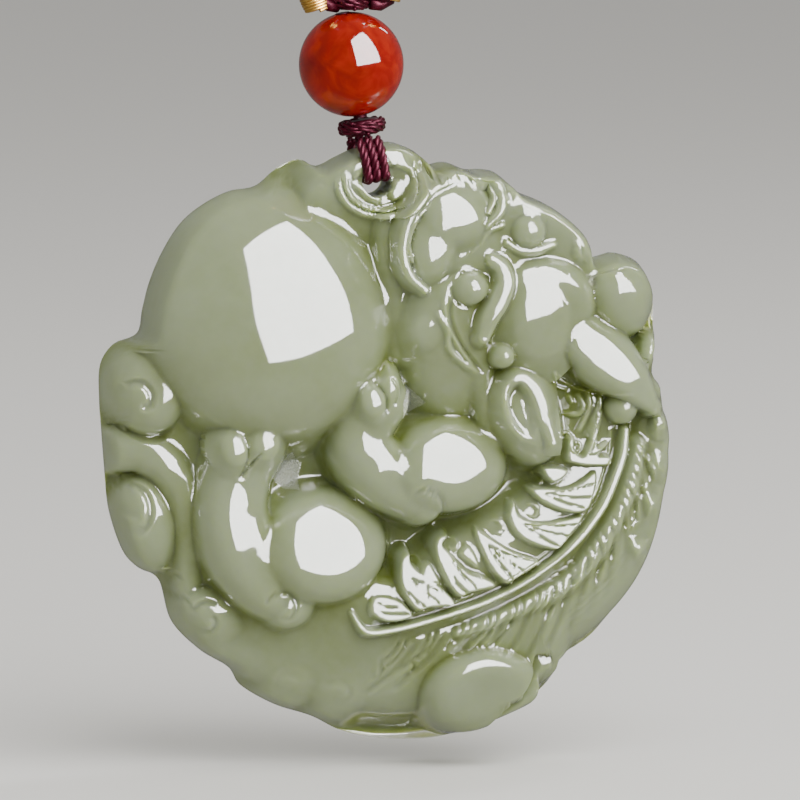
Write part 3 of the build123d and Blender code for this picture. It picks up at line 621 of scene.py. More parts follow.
def spiral_path(row):
    steps = np.linspace(0, 1, 36)
    angle = math.radians(row.start) + steps * row.turns * math.tau
    radius = (row.first + (row.last - row.first) * steps) / PIXELS_PER_MM
    x, y = on_face(row.px, row.py, row.out)
    return np.column_stack([x + radius * np.cos(angle), y + radius * np.sin(angle)])


def carve_feather_lines(height, x, y):
    """Fine lines run in each inner feather from its tip to its root."""
    for tip, roots, width in FANS:
        for root in roots:
            middle = ((tip[0] + root[0]) / 2, (tip[1] + root[1]) / 2 + FAN_SAG)
            path = stroke_path([tip, middle, root], FAN_OUT)
            draw_stroke(height, x, y, path, width / PIXELS_PER_MM, FAN_DEPTH)


def carve_outer_feathers(height, x, y):
    """Long feathers leave the spine outwards and overlap to the rim, with fine barbs between."""
    spine = stroke_path([point[:2] for point in LIMBS["spine"].points[:12]], OUTER_OUT)
    for i in range(OUTER_FEATHERS):
        share = i / (OUTER_FEATHERS - 1)
        place = (OUTER_START + OUTER_SPAN * share) * (len(spine) - 2)
        low = int(place)
        root = spine[low] + (spine[low + 1] - spine[low]) * (place - low)
        run = spine[low + 1] - spine[low]
        run = run / np.linalg.norm(run)
        outward = np.array([-run[1], run[0]])
        reach = OUTER_REACH - OUTER_TAPER * abs(share - OUTER_LONGEST)
        start = root + outward * OUTER_GAP
        bends = [start + outward * reach * a + run * b for a, b in OUTER_BENDS]
        path = smooth_path([start, *bends], steps=7)
        draw_stroke(height, x, y, path, OUTER_WIDTH, OUTER_DEPTH)
        for j in (1, 2):
            foot = start + run * (BARB_STEP * j + BARB_WANDER * math.sin(1.9 * i)) - outward * BARB_BACK
            long = BARB_LENGTH + BARB_VARIES * math.sin(2.3 * i + 1.7 * j)
            bends = [foot + (outward * a + run * b) * long for a, b in BARB_BENDS]
            line = smooth_path([foot, *bends], steps=5)
            draw_stroke(height, x, y, line, BARB_WIDTH, BARB_DEPTH)


def front_height(x, y):
    """The carved front, in millimetres in front of the disc's middle plane."""
    height = np.interp(np.hypot(x, y), *zip(*FRONT_PROFILE))
    for row in MOUNDS.values():
        raise_mound(height, x, y, row)
    for row in LIMBS.values():
        raise_limb(height, x, y, row)
    sink_bowl(height, x, y, CHIN_BOWL)
    for row in FEATHERS.values():
        raise_plate(height, x, y, row)
    carve_coin(height, x, y)
    for row in PETALS.values():
        raise_plate(height, x, y, row)
    for row in STROKES.values():
        draw_stroke(height, x, y, stroke_path(row.points, row.out), row.width / PIXELS_PER_MM, row.height)
    for row in SPIRALS.values():
        draw_stroke(height, x, y, spiral_path(row), row.width / PIXELS_PER_MM, row.height)
    carve_feather_lines(height, x, y)
    carve_outer_feathers(height, x, y)
    for row in TOP_MOUNDS.values():
        raise_mound(height, x, y, row)
    cut_facets(height, x, y)
    for row in LEDGES.values():
        sink_ledge(height, x, y, row)
    return height


def sink_bowl(height, x, y, row):
    """Hollows the chin's drop inside its arch."""
    along, across = turned(x, y, on_face(row.px, row.py, row.out), row.turn)
    inside = 1 - (along / row.half_long) ** 2 - (across / row.half_wide) ** 2
    height -= row.depth * np.clip(inside * 2, 0, 1)


def carve_coin(height, x, y):
    """Two flat-topped rings round a sunk field on the coin's face."""
    middle = on_face(*COIN_MIDDLE)
    dx, dy = (x - middle[0]) * PIXELS_PER_MM, (y - middle[1]) * PIXELS_PER_MM
    for ring in COIN_RINGS:
        gap = np.abs(np.hypot(dx / ring.half_x, dy / ring.half_y) - 1) * ring.half_y
        rise = ring.rise - ring.lean * dy / PIXELS_PER_MM
        height += rise * smooth_step((ring.width - gap) / RING_EDGE)
    reach = np.hypot(dx / FIELD_HALF_X, dy / FIELD_HALF_Y)
    height -= FIELD_DEPTH * np.clip((FIELD_END - reach) / (FIELD_END - FIELD_LEVEL), 0, 1)


def sink_ledge(height, x, y, row):
    """Sets a low back layer free from the forms in front of it."""
    ring = smooth_path([on_face(px, py, row.out) for px, py in row.points], steps=3, closed=True)
    middle = ring.mean(0)
    index, gap, within = closed_near(x, y, ring, 3.0)
    floor = row.out + row.lean[0] * (x[index] - middle[0]) + row.lean[1] * (y[index] - middle[1])
    floor += np.where(within, LEDGE_RISE * np.clip(gap, 0, LEDGE_RISE_WIDTH), LEDGE_WALL * gap)
    sunk = np.minimum(height[index], floor)
    height[index] = np.where(within | (gap < LEDGE_MARGIN), sunk, height[index])


def facet_shares(x, y):
    """For each matte facet: its middle, the points near it and how far each lies inside it."""
    for corners in FACETS.values():
        ring = np.array([on_face(px, py, FACET_OUT) for px, py in corners])
        index, gap, inside = closed_near(x, y, ring, 0.1)
        yield ring.mean(0), index, np.where(inside, np.clip(gap / FACET_EDGE, 0, 1), 0)


def cut_facets(height, x, y):
    """Sinks the ground facets and roughens their floor."""
    for middle, index, share in facet_shares(x, y):
        bend = RIPPLE_BEND * np.sin(y[index] * RIPPLE_SHIFT)
        grit = np.sin(x[index] * RIPPLE_X + bend) * np.sin(y[index] * RIPPLE_Y)
        floor = FACET_FLOOR - FACET_SLOPE * (y[index] - middle[1]) + FACET_GRIT * grit
        height[index] = height[index] * (1 - share) + np.minimum(height[index], floor) * share


def frosted(x, y):
    """1 in the matte facets that the wheel left and 0 outside them."""
    mask = np.zeros(len(x))
    for _, index, share in facet_shares(x, y):
        mask[index] = np.clip(share * 2, 0, 1)
    return mask


def back_height(x, y):
    """The plain domed back, with room for the cord behind the coin."""
    height = -BACK_DEPTH + BACK_RISE * np.clip(np.hypot(x, y) / MEAN_RADIUS, 0, 1.1) ** 3
    coin = np.hypot((x - HOLE_SIDE) / (COIN_HALF_WIDTH * PAD_MARGIN),
                    (y - HOLE_ABOVE) / (COIN_HALF_HEIGHT * PAD_MARGIN))
    return np.where(coin < 1, COIN_BACK, np.minimum(height, COIN_BACK))


def outline_radius(angle):
    """The outline's distance from the disc's middle at each angle."""
    points = np.array([on_face(px, py, -1.0) for px, py in OUTLINE])
    curve = smooth_path(points, steps=8, closed=True)
    angles = np.arctan2(curve[:, 1], curve[:, 0])
    order = np.argsort(angles)
    return np.interp(angle, angles[order], np.hypot(*curve.T)[order], period=math.tau)


def select_only(*objects):
    bpy.ops.object.select_all(action="DESELECT")
    for item in objects:
        item.select_set(True)
    bpy.context.view_layer.objects.active = objects[0]


def disc_places(square):
    """Places of a square grid's points on the disc, and how far each has gone round the rim."""
    a, b = square[:, 0], square[:, 1]
    wide = np.abs(a) > np.abs(b)
    ring = np.maximum(np.abs(a), np.abs(b))
    safe_a, safe_b = np.where(a == 0, TINY, a), np.where(b == 0, TINY, b)
    angle = np.where(wide, math.pi / 4 * b / safe_a, math.pi / 2 - math.pi / 4 * a / safe_b)
    angle = np.where(np.where(wide, a, b) < 0, angle + math.pi, angle)
    outline = outline_radius(np.arctan2(np.sin(angle), np.cos(angle)))
    inner = 1 - WALL_SHARE
    share = np.clip(ring / inner, 0, 1)
    turn = np.clip((ring - inner) / WALL_SHARE, 0, 1) * math.pi / 2
    thin = np.exp(-((np.cos(angle) - THIN_RIM_MIDDLE) / THIN_RIM_SPREAD) ** 2) * (np.sin(angle) > 0)
    rounding = RIM_ROUND * (1 - THIN_RIM_CUT * thin)
    reach = share * (MEAN_RADIUS * (1 - share**4) + (outline - rounding) * share**4)
    reach = np.where(ring > inner, outline - rounding * (1 - np.sin(turn)), reach)
    return reach * np.cos(angle), reach * np.sin(angle), turn


def grid_square(name, cells):
    bpy.ops.object.select_all(action="DESELECT")
    bpy.ops.mesh.primitive_grid_add(x_subdivisions=cells, y_subdivisions=cells, size=2)
    item = bpy.context.object
    item.name = item.data.name = name
    return item


def coordinates(item):
    flat = np.empty(len(item.data.vertices) * 3)
    item.data.vertices.foreach_get("co", flat)
    return flat.reshape(-1, 3)


def blurred(field, cells):
    """A field blurred by a box of a few cells, three times."""
    span = 2 * cells + 1
    for _ in range(3):
        for axis in (0, 1):
            margins = [(cells + 1, cells) if a == axis else (0, 0) for a in (0, 1)]
            total = np.cumsum(np.pad(field, margins, mode="edge"), axis)
            high = np.take(total, range(span, total.shape[axis]), axis)
            low = np.take(total, range(0, total.shape[axis] - span), axis)
            field = (high - low) / span
    return field


def height_raster():
    """The carved front on an even raster, and the raster's places along one side."""
    line = np.arange(-RASTER_HALF, RASTER_HALF + RASTER_STEP / 2, RASTER_STEP)
    x, y = np.meshgrid(line, line, indexing="ij")
    return line, front_height(x.ravel(), y.ravel()).reshape(x.shape)


def sample(line, field, x, y):
    """Bilinear reading of a raster at scattered places."""
    step = line[1] - line[0]
    i = np.clip((x - line[0]) / step, 0, len(line) - 2.001)
    j = np.clip((y - line[0]) / step, 0, len(line) - 2.001)
    i0, j0 = i.astype(int), j.astype(int)
    s, t = i - i0, j - j0
    return (field[i0, j0] * (1 - s) * (1 - t) + field[i0 + 1, j0] * s * (1 - t)
            + field[i0, j0 + 1] * (1 - s) * t + field[i0 + 1, j0 + 1] * s * t)


def refine(item, line, detail, share):
    """Subdivides the share of the faces where the carving is finest."""
    mesh = item.data
    square = np.empty(len(mesh.polygons) * 3)
    mesh.polygons.foreach_get("center", square)
    square = square.reshape(-1, 3)
    area = np.empty(len(mesh.polygons))
    mesh.polygons.foreach_get("area", area)
    x, y, _ = disc_places(square)
    need = sample(line, detail, x, y)
    need[np.abs(square[:, :2]).max(1) > REFINED_REACH] = -1
    order = np.argsort(-need)
    covered = np.cumsum(area[order]) / area.sum()
    chosen = np.zeros(len(need), bool)
    chosen[order[covered < share]] = True
    chosen &= need > 0
    select_only(item)
    bpy.context.tool_settings.mesh_select_mode = (False, False, True)
    mesh.vertices.foreach_set("select", np.zeros(len(mesh.vertices), bool))
    mesh.edges.foreach_set("select", np.zeros(len(mesh.edges), bool))
    mesh.polygons.foreach_set("select", chosen)
    bpy.ops.object.mode_set(mode="EDIT")
    bpy.ops.mesh.subdivide(number_cuts=1)
    bpy.ops.object.mode_set(mode="OBJECT")


def in_edit_mode(step, **settings):
    """Runs an edit-mode operator on all of the active object's mesh."""
    bpy.ops.object.mode_set(mode="EDIT")
    bpy.ops.mesh.select_all(action="SELECT")
    step(**settings)
    bpy.ops.object.mode_set(mode="OBJECT")


def linear(hex_colour):
    """A linear colour from an sRGB hex value."""
    parts = [int(hex_colour[i:i + 2], 16) / 255 for i in (1, 3, 5)]
    return tuple(c / 12.92 if c <= 0.04045 else ((c + 0.055) / 1.055) ** 2.4 for c in parts)


def add_node(tree, kind, inputs=None, **settings):
    """A node with its settings, and its inputs as values or as links from other nodes' sockets."""
    made = tree.nodes.new(kind)
    for name, value in settings.items():
        setattr(made, name, value)
    for name, value in (inputs or {}).items():
        if isinstance(value, bpy.types.NodeSocket):
            tree.links.new(value, made.inputs[name])
        else:
            made.inputs[name].default_value = value
    return made


def new_material(name):
    material = bpy.data.materials.new(name)
    material.use_nodes = True
    material.node_tree.nodes.clear()
    return material, material.node_tree


def finish_material(tree, shader):
    add_node(tree, "ShaderNodeOutputMaterial", {"Surface": shader.outputs[0]})


def colour4(value):
    return (*value, 1.0)


def polished_nephrite(settings):
    """Nephrite, ground with small wheels and polished by hand."""
    # Felted fibres make the stone milky and let a little light in, so its shadows stay soft. It is
    # grey-green, with olive painted shade in the cuts for the shade and deeper colour that light gives them
    # inside the stone, under a hard polish that shows the window whole. Facets that the wheel left in the
    # pits are unpolished: pale, matte and gritty.
    material, tree = new_material("polished_nephrite")
    place = add_node(tree, "ShaderNodeTexCoord").outputs["Object"]
    # Painted shade: an olive share laid into the cuts, read from how deep the carving lies there.
    painted_recess_shade = add_node(tree, "ShaderNodeAttribute", attribute_name="painted_recess_shade").outputs["Fac"]
    frost = add_node(tree, "ShaderNodeAttribute", attribute_name="frost").outputs["Fac"]
    clouds = add_node(tree, "ShaderNodeTexNoise", {
        "Vector": place, "Scale": 1 / (JADE_CLOUD * MM), "Detail": 3.0, "Roughness": 0.55,
        "Distortion": 0.4}).outputs[0]
    cloudy = add_node(tree, "ShaderNodeMapRange", {
        "Value": clouds, "From Min": 0.35, "From Max": 0.72, "To Max": 0.30}).outputs[0]
    grains = add_node(tree, "ShaderNodeTexNoise", {
        "Vector": place, "Scale": 1 / (JADE_GRAIN * MM), "Detail": 2.0}).outputs[0]
    grainy = add_node(tree, "ShaderNodeMapRange", {
        "Value": grains, "From Min": 0.4, "From Max": 0.7, "To Max": 0.10}).outputs[0]
    stone = colour4(settings.raised_colour)
    for share, tint in ((painted_recess_shade, settings.painted_shade_colour), (cloudy, settings.cloud_colour),
                        (grainy, settings.cloud_colour), (frost, settings.frost_colour)):
        stone = add_node(tree, "ShaderNodeMix", {0: share, 6: stone, 7: colour4(tint)},
                         data_type="RGBA").outputs[2]
    grit = add_node(tree, "ShaderNodeTexNoise", {
        "Vector": place, "Scale": 1 / (JADE_GRIT * MM), "Detail": 2.0}).outputs[0]
    bump = add_node(tree, "ShaderNodeBump", {"Height": grit, "Strength": frost, "Distance": 0.2 * MM})
    roughness = add_node(tree, "ShaderNodeMapRange", {
        "Value": frost, "To Min": 0.045, "To Max": 0.55}).outputs[0]
    shader = add_node(tree, "ShaderNodeBsdfPrincipled", {
        "Base Color": stone, "Roughness": roughness, "IOR": 1.61, "Normal": bump.outputs[0],
        "Subsurface Weight": 1.0, "Subsurface Radius": (1.0, 1.1, 0.5), "Subsurface Scale": 1.7 * MM})
    finish_material(tree, shader)
    return material


def polished_agate(settings):
    """Dyed and heated agate, tumbled to a high polish."""
    # The dye sinks in unevenly, so orange clouds and dark patches lie under a glassy surface, and a
    # little red light comes through from below.
    material, tree = new_material("polished_agate")
    place = add_node(tree, "ShaderNodeTexCoord").outputs["Object"]
    clouds = add_node(tree, "ShaderNodeTexNoise", {
        "Vector": place, "Scale": 1 / (AGATE_CLOUD * MM), "Detail": 3.0, "Roughness": 0.6,
        "Distortion": 1.2}).outputs[0]
    cloudy = add_node(tree, "ShaderNodeMapRange", {
        "Value": clouds, "From Min": 0.45, "From Max": 0.68}).outputs[0]
    patches = add_node(tree, "ShaderNodeTexNoise", {
        "Vector": place, "Scale": 1 / (AGATE_PATCH * MM), "Detail": 2.0, "Roughness": 0.5,
        "Distortion": 0.6}).outputs[0]
    patchy = add_node(tree, "ShaderNodeMapRange", {
        "Value": patches, "From Min": 0.45, "From Max": 0.75, "To Max": 0.8}).outputs[0]
    stone = colour4(settings.body_colour)
    for share, tint in ((cloudy, settings.cloud_colour), (patchy, settings.dark_colour)):
        stone = add_node(tree, "ShaderNodeMix", {0: share, 6: stone, 7: colour4(tint)},
                         data_type="RGBA").outputs[2]
    shader = add_node(tree, "ShaderNodeBsdfPrincipled", {
        "Base Color": stone, "Roughness": 0.05, "IOR": 1.54,
        "Subsurface Weight": 0.5, "Subsurface Radius": (1.0, 0.2, 0.08), "Subsurface Scale": 0.9 * MM})
    finish_material(tree, shader)
    return material


def spun_thread(name, colour, glint, gloss, ply, fibre, relief, metallic, roughness, ior):
    """Thread spun from filaments that run along each ply, on the ply's own UVs."""
    # Silk shows a soft pink sheen along each ply of a dark red, and metal thread glitters in bright
    # streaks. The sheen is the shader's tinted gloss; the lighter streaks of the glint colour along the
    # filaments are painted glints. The pattern takes the thickest filaments, because finer ones are too
    # fine to show. It is worked out for one ply, and is as much coarser on a thicker one.
    material, tree = new_material(name)
    uv = add_node(tree, "ShaderNodeUVMap").outputs[0]
    round_and_along = (math.tau * ply / fibre, 1 / FIBRE_RUN, 1.0)
    stretched = add_node(tree, "ShaderNodeMapping", {"Vector": uv, "Scale": round_and_along}).outputs[0]
    fibres = add_node(tree, "ShaderNodeTexNoise", {
        "Vector": stretched, "Scale": 1.0, "Detail": 3.0, "Roughness": 0.6, "Distortion": 0.3}).outputs[0]
    # Painted glints: lighter streaks of the glint colour along the filaments.
    painted_glint_share = add_node(tree, "ShaderNodeMapRange", {
        "Value": fibres, "From Min": 0.38, "From Max": 0.66}).outputs[0]
    shade = add_node(tree, "ShaderNodeMix", {
        0: painted_glint_share, 6: colour4(colour), 7: colour4(glint)}, data_type="RGBA").outputs[2]
    bump = add_node(tree, "ShaderNodeBump", {"Height": fibres, "Strength": 0.6, "Distance": relief * MM})
    shader = add_node(tree, "ShaderNodeBsdfPrincipled", {
        "Base Color": shade, "Metallic": metallic, "Roughness": roughness, "IOR": ior,
        "Specular IOR Level": 0.3, "Specular Tint": colour4(gloss), "Normal": bump.outputs[0]})
    finish_material(tree, shader)
    return material


def give(item, material, body, node):
    """Puts a finish on a piece, lets it ride on a body and hides the node that it stands for."""
    item.data.materials.clear()
    item.data.materials.append(material)
    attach(item, body)
    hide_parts(node)


def carry_frames(path):
    """Two sides that go along a path without a twist about it."""
    along = np.gradient(path, axis=0)
    along /= np.linalg.norm(along, axis=1)[:, None]
    side = np.cross(along[0], [0, 1, 0])
    if np.linalg.norm(side) < 0.1:
        side = np.cross(along[0], [1, 0, 0])
    sides = []
    for heading in along:
        side = side - heading * (side @ heading)
        side = side / np.linalg.norm(side)
        sides.append(side)
    return np.array(sides), np.cross(along, sides)


def lengths_along(path):
    return np.concatenate([[0], np.cumsum(np.linalg.norm(np.diff(path, axis=0), axis=1))])


def ply_tubes(name, paths, radius, sides=10):
    """One mesh of round closed tubes along several paths in millimetres, with UVs along each."""
    verts, faces, uvs = [], [], []
    for path in paths:
        first, second = carry_frames(path)
        start = len(verts)
        length = lengths_along(path)
        for point, a, b in zip(path, first, second):
            for k in range(sides):
                turn = math.tau * k / sides
                verts.append(tuple((point + radius * (math.cos(turn) * a + math.sin(turn) * b)) * MM))
        for i in range(len(path) - 1):
            for k in range(sides):
                n = (k + 1) % sides
                faces.append((start + i * sides + k, start + i * sides + n,
                              start + (i + 1) * sides + n, start + (i + 1) * sides + k))
                uvs += [(k / sides, length[i]), ((k + 1) / sides, length[i]),
                        ((k + 1) / sides, length[i + 1]), (k / sides, length[i + 1])]
        last = start + (len(path) - 1) * sides
        faces.append(tuple(reversed(range(start, start + sides))))
        faces.append(tuple(range(last, last + sides)))
        uvs += [(0.5, 0.0)] * sides + [(0.5, length[-1])] * sides
    mesh = bpy.data.meshes.new(name)
    mesh.from_pydata(verts, [], faces)
    layer = mesh.uv_layers.new(name="UVMap")
    layer.data.foreach_set("uv", np.array(uvs, float).ravel())
    item = bpy.data.objects.new(name, mesh)
    bpy.context.scene.collection.objects.link(item)
    select_only(item)
    in_edit_mode(bpy.ops.mesh.normals_make_consistent, inside=False)
    bpy.ops.object.shade_smooth()
    return item


def twisted(path, plies, offset, lay, phase=0.0):
    """The paths of plies that twist about a centre line."""
    first, second = carry_frames(path)
    length = lengths_along(path)
    result = []
    for k in range(plies):
        turn = phase + math.tau * (length / lay + k / plies)
        result.append(path + offset * (np.cos(turn)[:, None] * first + np.sin(turn)[:, None] * second))
    return result


def spline_points(points, spacing):
    """Points read, at least a spacing apart, from the smooth spline that a route's points control."""
    curve = bpy.data.curves.new("route", "CURVE")
    curve.dimensions = "3D"
    curve.resolution_u = SPLINE_STEPS
    spline = curve.splines.new("NURBS")
    spline.points.add(len(points) - 1)
    for control, point in zip(spline.points, points):
        control.co = (*point, 1.0)
    spline.order_u = 3
    spline.use_endpoint_u = True
    item = bpy.data.objects.new("route", curve)
    mesh = bpy.data.meshes.new_from_object(item)
    places = [vertex.co.copy() for vertex in mesh.vertices]
    bpy.data.objects.remove(item)
    bpy.data.curves.remove(curve)
    bpy.data.meshes.remove(mesh)
    kept = [places[0]]
    for place in places[1:]:
        if (place - kept[-1]).length >= spacing:
            kept.append(place)
    return np.array([tuple(place) for place in kept])


def winding(foot, up, reach, length, turns, hollow, spacing):
    """The line of a thread wound round an axis, drawn in towards both ends by a hollow."""
    side = Vector((0, -1, 0))
    across = up.cross(side).normalized()
    corners = round(turns * CORNERS_A_TURN)
    points = []
    for i in range(corners + 1):
        share = i / corners
        angle = math.tau * turns * share
        radius = (reach - hollow * (2 * share - 1) ** 2) / math.cos(math.pi / CORNERS_A_TURN)
        spoke = side * math.cos(angle) + across * math.sin(angle)
        points.append(foot + up * length * share + spoke * radius)
    return spline_points(points, spacing)


def round_body(node, up):
    """The foot, radius and length of a round node that stands along a direction, in millimetres."""
    low, high = (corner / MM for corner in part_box(node))
    reach = (high.y - low.y) / 2
    length = (high.z - low.z - 2 * reach * abs(up.x)) / up.z
    return (low + high) / 2 - up * length / 2, reach, length


def colour_setting(name, description, hex_colour):
    return FloatVectorProperty(name=name, description=description, subtype="COLOR", size=3,
                               default=linear(hex_colour))


def length_setting(name, description, default, low, high):
    """A length that is shown in the scene's units, given here in millimetres."""
    return FloatProperty(name=name, description=description, unit="LENGTH", precision=5,
                         default=default * MM, min=low * MM, max=high * MM)


class JadeSettings(bpy.types.PropertyGroup):
    raised_colour: colour_setting("Raised Colour", "Milky green of the raised forms", "#8B9474")
    # Painted shade: this olive is laid into the cuts for the shade and deeper colour that light gives them.
    painted_shade_colour: colour_setting("Recess Colour", "Olive green of the deep cuts", "#606A2A")
    cloud_colour: colour_setting("Cloud Colour", "Paler clouds in the stone", "#9AA48C")
    frost_colour: colour_setting("Frost Colour", "Unpolished facets", "#868C74")
    cells: IntProperty(name="Cells", description="Faces along each side of the carving's base grid",
                       default=86, min=40, max=160)


class BeadSettings(bpy.types.PropertyGroup):
    body_colour: colour_setting("Body Colour", "Red of the agate", "#8A1006")
    cloud_colour: colour_setting("Cloud Colour", "Orange clouds in the agate", "#A02408")
    dark_colour: colour_setting("Dark Colour", "Darkest red of the agate", "#560603")
    bore: length_setting("Bore", "Diameter of the drilled hole", 1.5, 0.5, 4)


class CordSettings(bpy.types.PropertyGroup):
    cord_colour: colour_setting("Cord Colour", "Dark maroon of the thread", "#2C060F")
    # Painted glints: this lighter red is laid in streaks along the filaments for the thread's glints.
    glint_colour: colour_setting("Glint Colour", "Lighter filaments in the thread", "#4A0E20")
    sheen_colour: colour_setting("Sheen Colour", "Pink sheen of the thread", "#C87890")
    gold_colour: colour_setting("Gold Colour", "Brass yellow of the metal thread", "#B98A3A")
    # Painted glints: this bright gold is laid in streaks along the filaments for the thread's glitter.
    gold_glint_colour: colour_setting("Gold Glint Colour", "Bright gold filaments", "#E3BE6C")
    neck_lay: length_setting("Neck Cord Lay", "Length of one twist of the neck cord", 7, 2, 20)
    neck_spread: length_setting("Neck Spread", "Half distance of the neck cord's ends", 2.9, 1, 6)
    neck_drop: length_setting("Neck Drop", "Height of the arc's middle over the ends", 195.28, 100, 300)


class StageSettings(bpy.types.PropertyGroup):
    floor_colour: colour_setting("Floor Colour", "Plain pale floor", "#DAD8D3")
    window_strength: FloatProperty(name="Window Strength", description="Brightness of the window's glow",
                                   default=38.0, min=0.0, max=200.0)
    floor_gap: length_setting("Floor Gap", "Height of the pendant over the floor", 2, 0, 50)


class PENDANT_OT_carving(bpy.types.Operator):
    """Carve the jade from two grids, its relief following the picture"""

    bl_idname = "pendant.carving"
    bl_label = "Carve Jade"

    def execute(self, context):
        settings = context.scene.jade_settings
        front = grid_square("jade_carving", settings.cells)
        line, raster = height_raster()
        detail = blurred(np.abs(raster - blurred(raster, CLOSE_BLUR)), DETAIL_BLUR)
        for share in REFINED_SHARES:
            refine(front, line, detail, share)
        x, y, turn = disc_places(coordinates(front))
        place_points(front, x, y, RIM_OUT + (front_height(x, y) - RIM_OUT) * np.cos(turn))
        # The olive painted shade is strongest in broad and narrow hollows of the relief.
        broad = sample(line, blurred(raster, BROAD_BLUR) - raster, x, y)
        close = sample(line, blurred(raster, CLOSE_BLUR) - raster, x, y)
        store(front, "painted_recess_shade", np.clip(PAINTED_SHADE_BASE + PAINTED_SHADE_BROAD * broad + PAINTED_SHADE_CLOSE * close, 0, 1))
        store(front, "frost", frosted(x, y))

        back = grid_square("jade_back", settings.cells)
        x, y, turn = disc_places(coordinates(back))
        place_points(back, x, y, RIM_OUT + (back_height(x, y) - RIM_OUT) * np.cos(turn))
        # The back gets an even share of the olive painted shade.
        store(back, "painted_recess_shade", np.full(len(x), BACK_PAINTED_SHADE))
        store(back, "frost", np.zeros(len(x)))
        select_only(back)
        in_edit_mode(bpy.ops.mesh.flip_normals)
        select_only(front, back)
        bpy.ops.object.join()
        in_edit_mode(bpy.ops.mesh.remove_doubles, threshold=WELD_GAP)
        drill(front, HOLE * MM, Vector((0, 1, 0)), HOLE_DIAMETER / 2 * MM, depth=30 * MM)
        select_only(front)
        bpy.ops.object.shade_smooth_by_angle(angle=math.radians(75))
        give(front, polished_nephrite(settings), "pendant", "jade_pixiu")
        return {"FINISHED"}


def place_points(item, x, y, height):
    """Moves a grid's points to the disc: x right, y up and height towards the viewer."""
    places = np.column_stack([DISC.x + x, DISC.y - height, DISC.z + y]) * MM
    item.data.vertices.foreach_set("co", places.ravel())
    item.data.update()


def store(item, name, values):
    layer = item.data.attributes.new(name, "FLOAT", "POINT")
    layer.data.foreach_set("value", np.asarray(values, float))


def drill(item, middle, axis, radius, depth):
    """Cuts a round hole through a piece."""
    turn = axis.to_track_quat("Z", "Y").to_euler()
    bpy.ops.object.select_all(action="DESELECT")
    bpy.ops.mesh.primitive_cylinder_add(vertices=48, radius=radius, depth=depth, location=middle,
                                        rotation=turn)
    cutter = bpy.context.object
    select_only(item)
    before = len(item.data.vertices)
    cut = item.modifiers.new("hole", "BOOLEAN")
    cut.object = cutter
    cut.solver = "EXACT"
    bpy.ops.object.modifier_apply(modifier=cut.name)
    bpy.data.objects.remove(cutter)
    if len(item.data.vertices) == before:
        raise RuntimeError("the hole through " + item.name + " was not cut")


def drop_line():
    """The coin's hole, the bead's middle and the direction from one to the other, in millimetres."""
    low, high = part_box("agate_bead")
    bead = (low + high) / 2 / MM
    return HOLE, bead, (bead - HOLE).normalized()


class PENDANT_OT_bead(bpy.types.Operator):
    """Turn and drill the agate bead"""

    bl_idname = "pendant.bead"
    bl_label = "Turn Bead"

    def execute(self, context):
        settings = context.scene.bead_settings
        low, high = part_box("agate_bead")
        _, bead, drop = drop_line()
        turn = drop.to_track_quat("Z", "Y").to_euler()
        bpy.ops.object.select_all(action="DESELECT")
        bpy.ops.mesh.primitive_uv_sphere_add(segments=128, ring_count=80, radius=(high.y - low.y) / 2,
                                             location=bead * MM, rotation=turn)
        item = context.object
        item.name = item.data.name = "polished_bead"
        bpy.ops.object.transform_apply(location=True, rotation=True, scale=True)
        drill(item, bead * MM, drop, settings.bore / 2, depth=20 * MM)
        select_only(item)
        bpy.ops.object.shade_smooth_by_angle(angle=math.radians(30))
        give(item, polished_agate(settings), "cord", "agate_bead")
        return {"FINISHED"}


class PENDANT_OT_cords(bpy.types.Operator):
    """Twist the strands, wind the knots and run the neck loop"""

    bl_idname = "pendant.cords"
    bl_label = "Wind Cords"

    def execute(self, context):
        settings = context.scene.cord_settings
        red = spun_thread("spun_silk_thread", settings.cord_colour, settings.glint_colour,
                          settings.sheen_colour, BAIL_PLY, SILK_FIBRE, SILK_RELIEF,
                          metallic=0.0, roughness=0.36, ior=1.55)
        self.bail(red)
        self.knots(red)
        self.neck(red, settings)
        # The thread in the bead's bore is the frame's own node with this finish.
        node = frame["nodes"]["bead_thread"]
        node.data.materials.clear()
        node.data.materials.append(red)
        return {"FINISHED"}

    def bail(self, red):
        """Three strands from the lower knot through the coin's hole and back up behind it."""
        hole, _, up = drop_line()
        out = Vector((0, -1, 0))
        side = up.cross(out)
        paths = []
        for i in (-1, 0, 1):
            points = [hole + side * BAIL_PITCH * i + out * y + up * z for y, z in BAIL_ROUTE]
            paths += twisted(spline_points(points, spacing=0.1), 3, BAIL_TWIST, BAIL_LAY, phase=0.9 * i)
        item = ply_tubes("bail_strands", paths, BAIL_PLY, sides=9)
        give(item, red, "cord", "bail_cord")

    def knots(self, red):
        """Each knot is a strand of two plies wound round the drop line in tight turns."""
        _, _, up = drop_line()
        self.wind("lower_binding", red, up, "lower_knot")
        self.wind("upper_binding", red, Vector((0, 0, 1)), "upper_knot")

    def wind(self, name, red, up, node):
        foot, reach, length = round_body(node, up)
        rise = length - 2 * KNOT_STRAND
        paths = []
        for sunk, pitch, hollow in KNOT_WINDINGS:
            line = winding(foot + up * KNOT_STRAND, up, reach - sunk, rise, length / pitch, hollow,
                           spacing=0.12)
            paths += twisted(line, 2, KNOT_STRAND * KNOT_TWIST_SHARE, KNOT_LAY)
        item = ply_tubes(name, paths, KNOT_STRAND * KNOT_PLY_SHARE, sides=8)
        core = spline_points([foot + up * length * share for share in CORE_PLACES], spacing=0.2)
        plug = ply_tubes(name + "_core", [core], reach - KNOT_CORE, sides=24)
        select_only(item, plug)
        bpy.ops.object.join()
        give(item, red, "cord", node)

    def neck(self, red, settings):
        """The neck loop: two straight runs and an arc, laid of three plies."""
        points, radius = neck_route(settings)
        plies = twisted(spline_points(points, spacing=0.8), 3, radius * 0.5, settings.neck_lay / MM)
        item = ply_tubes("neck_loop", plies, radius * 0.5, sides=9)
        give(item, red, "cord", "neck_cord")


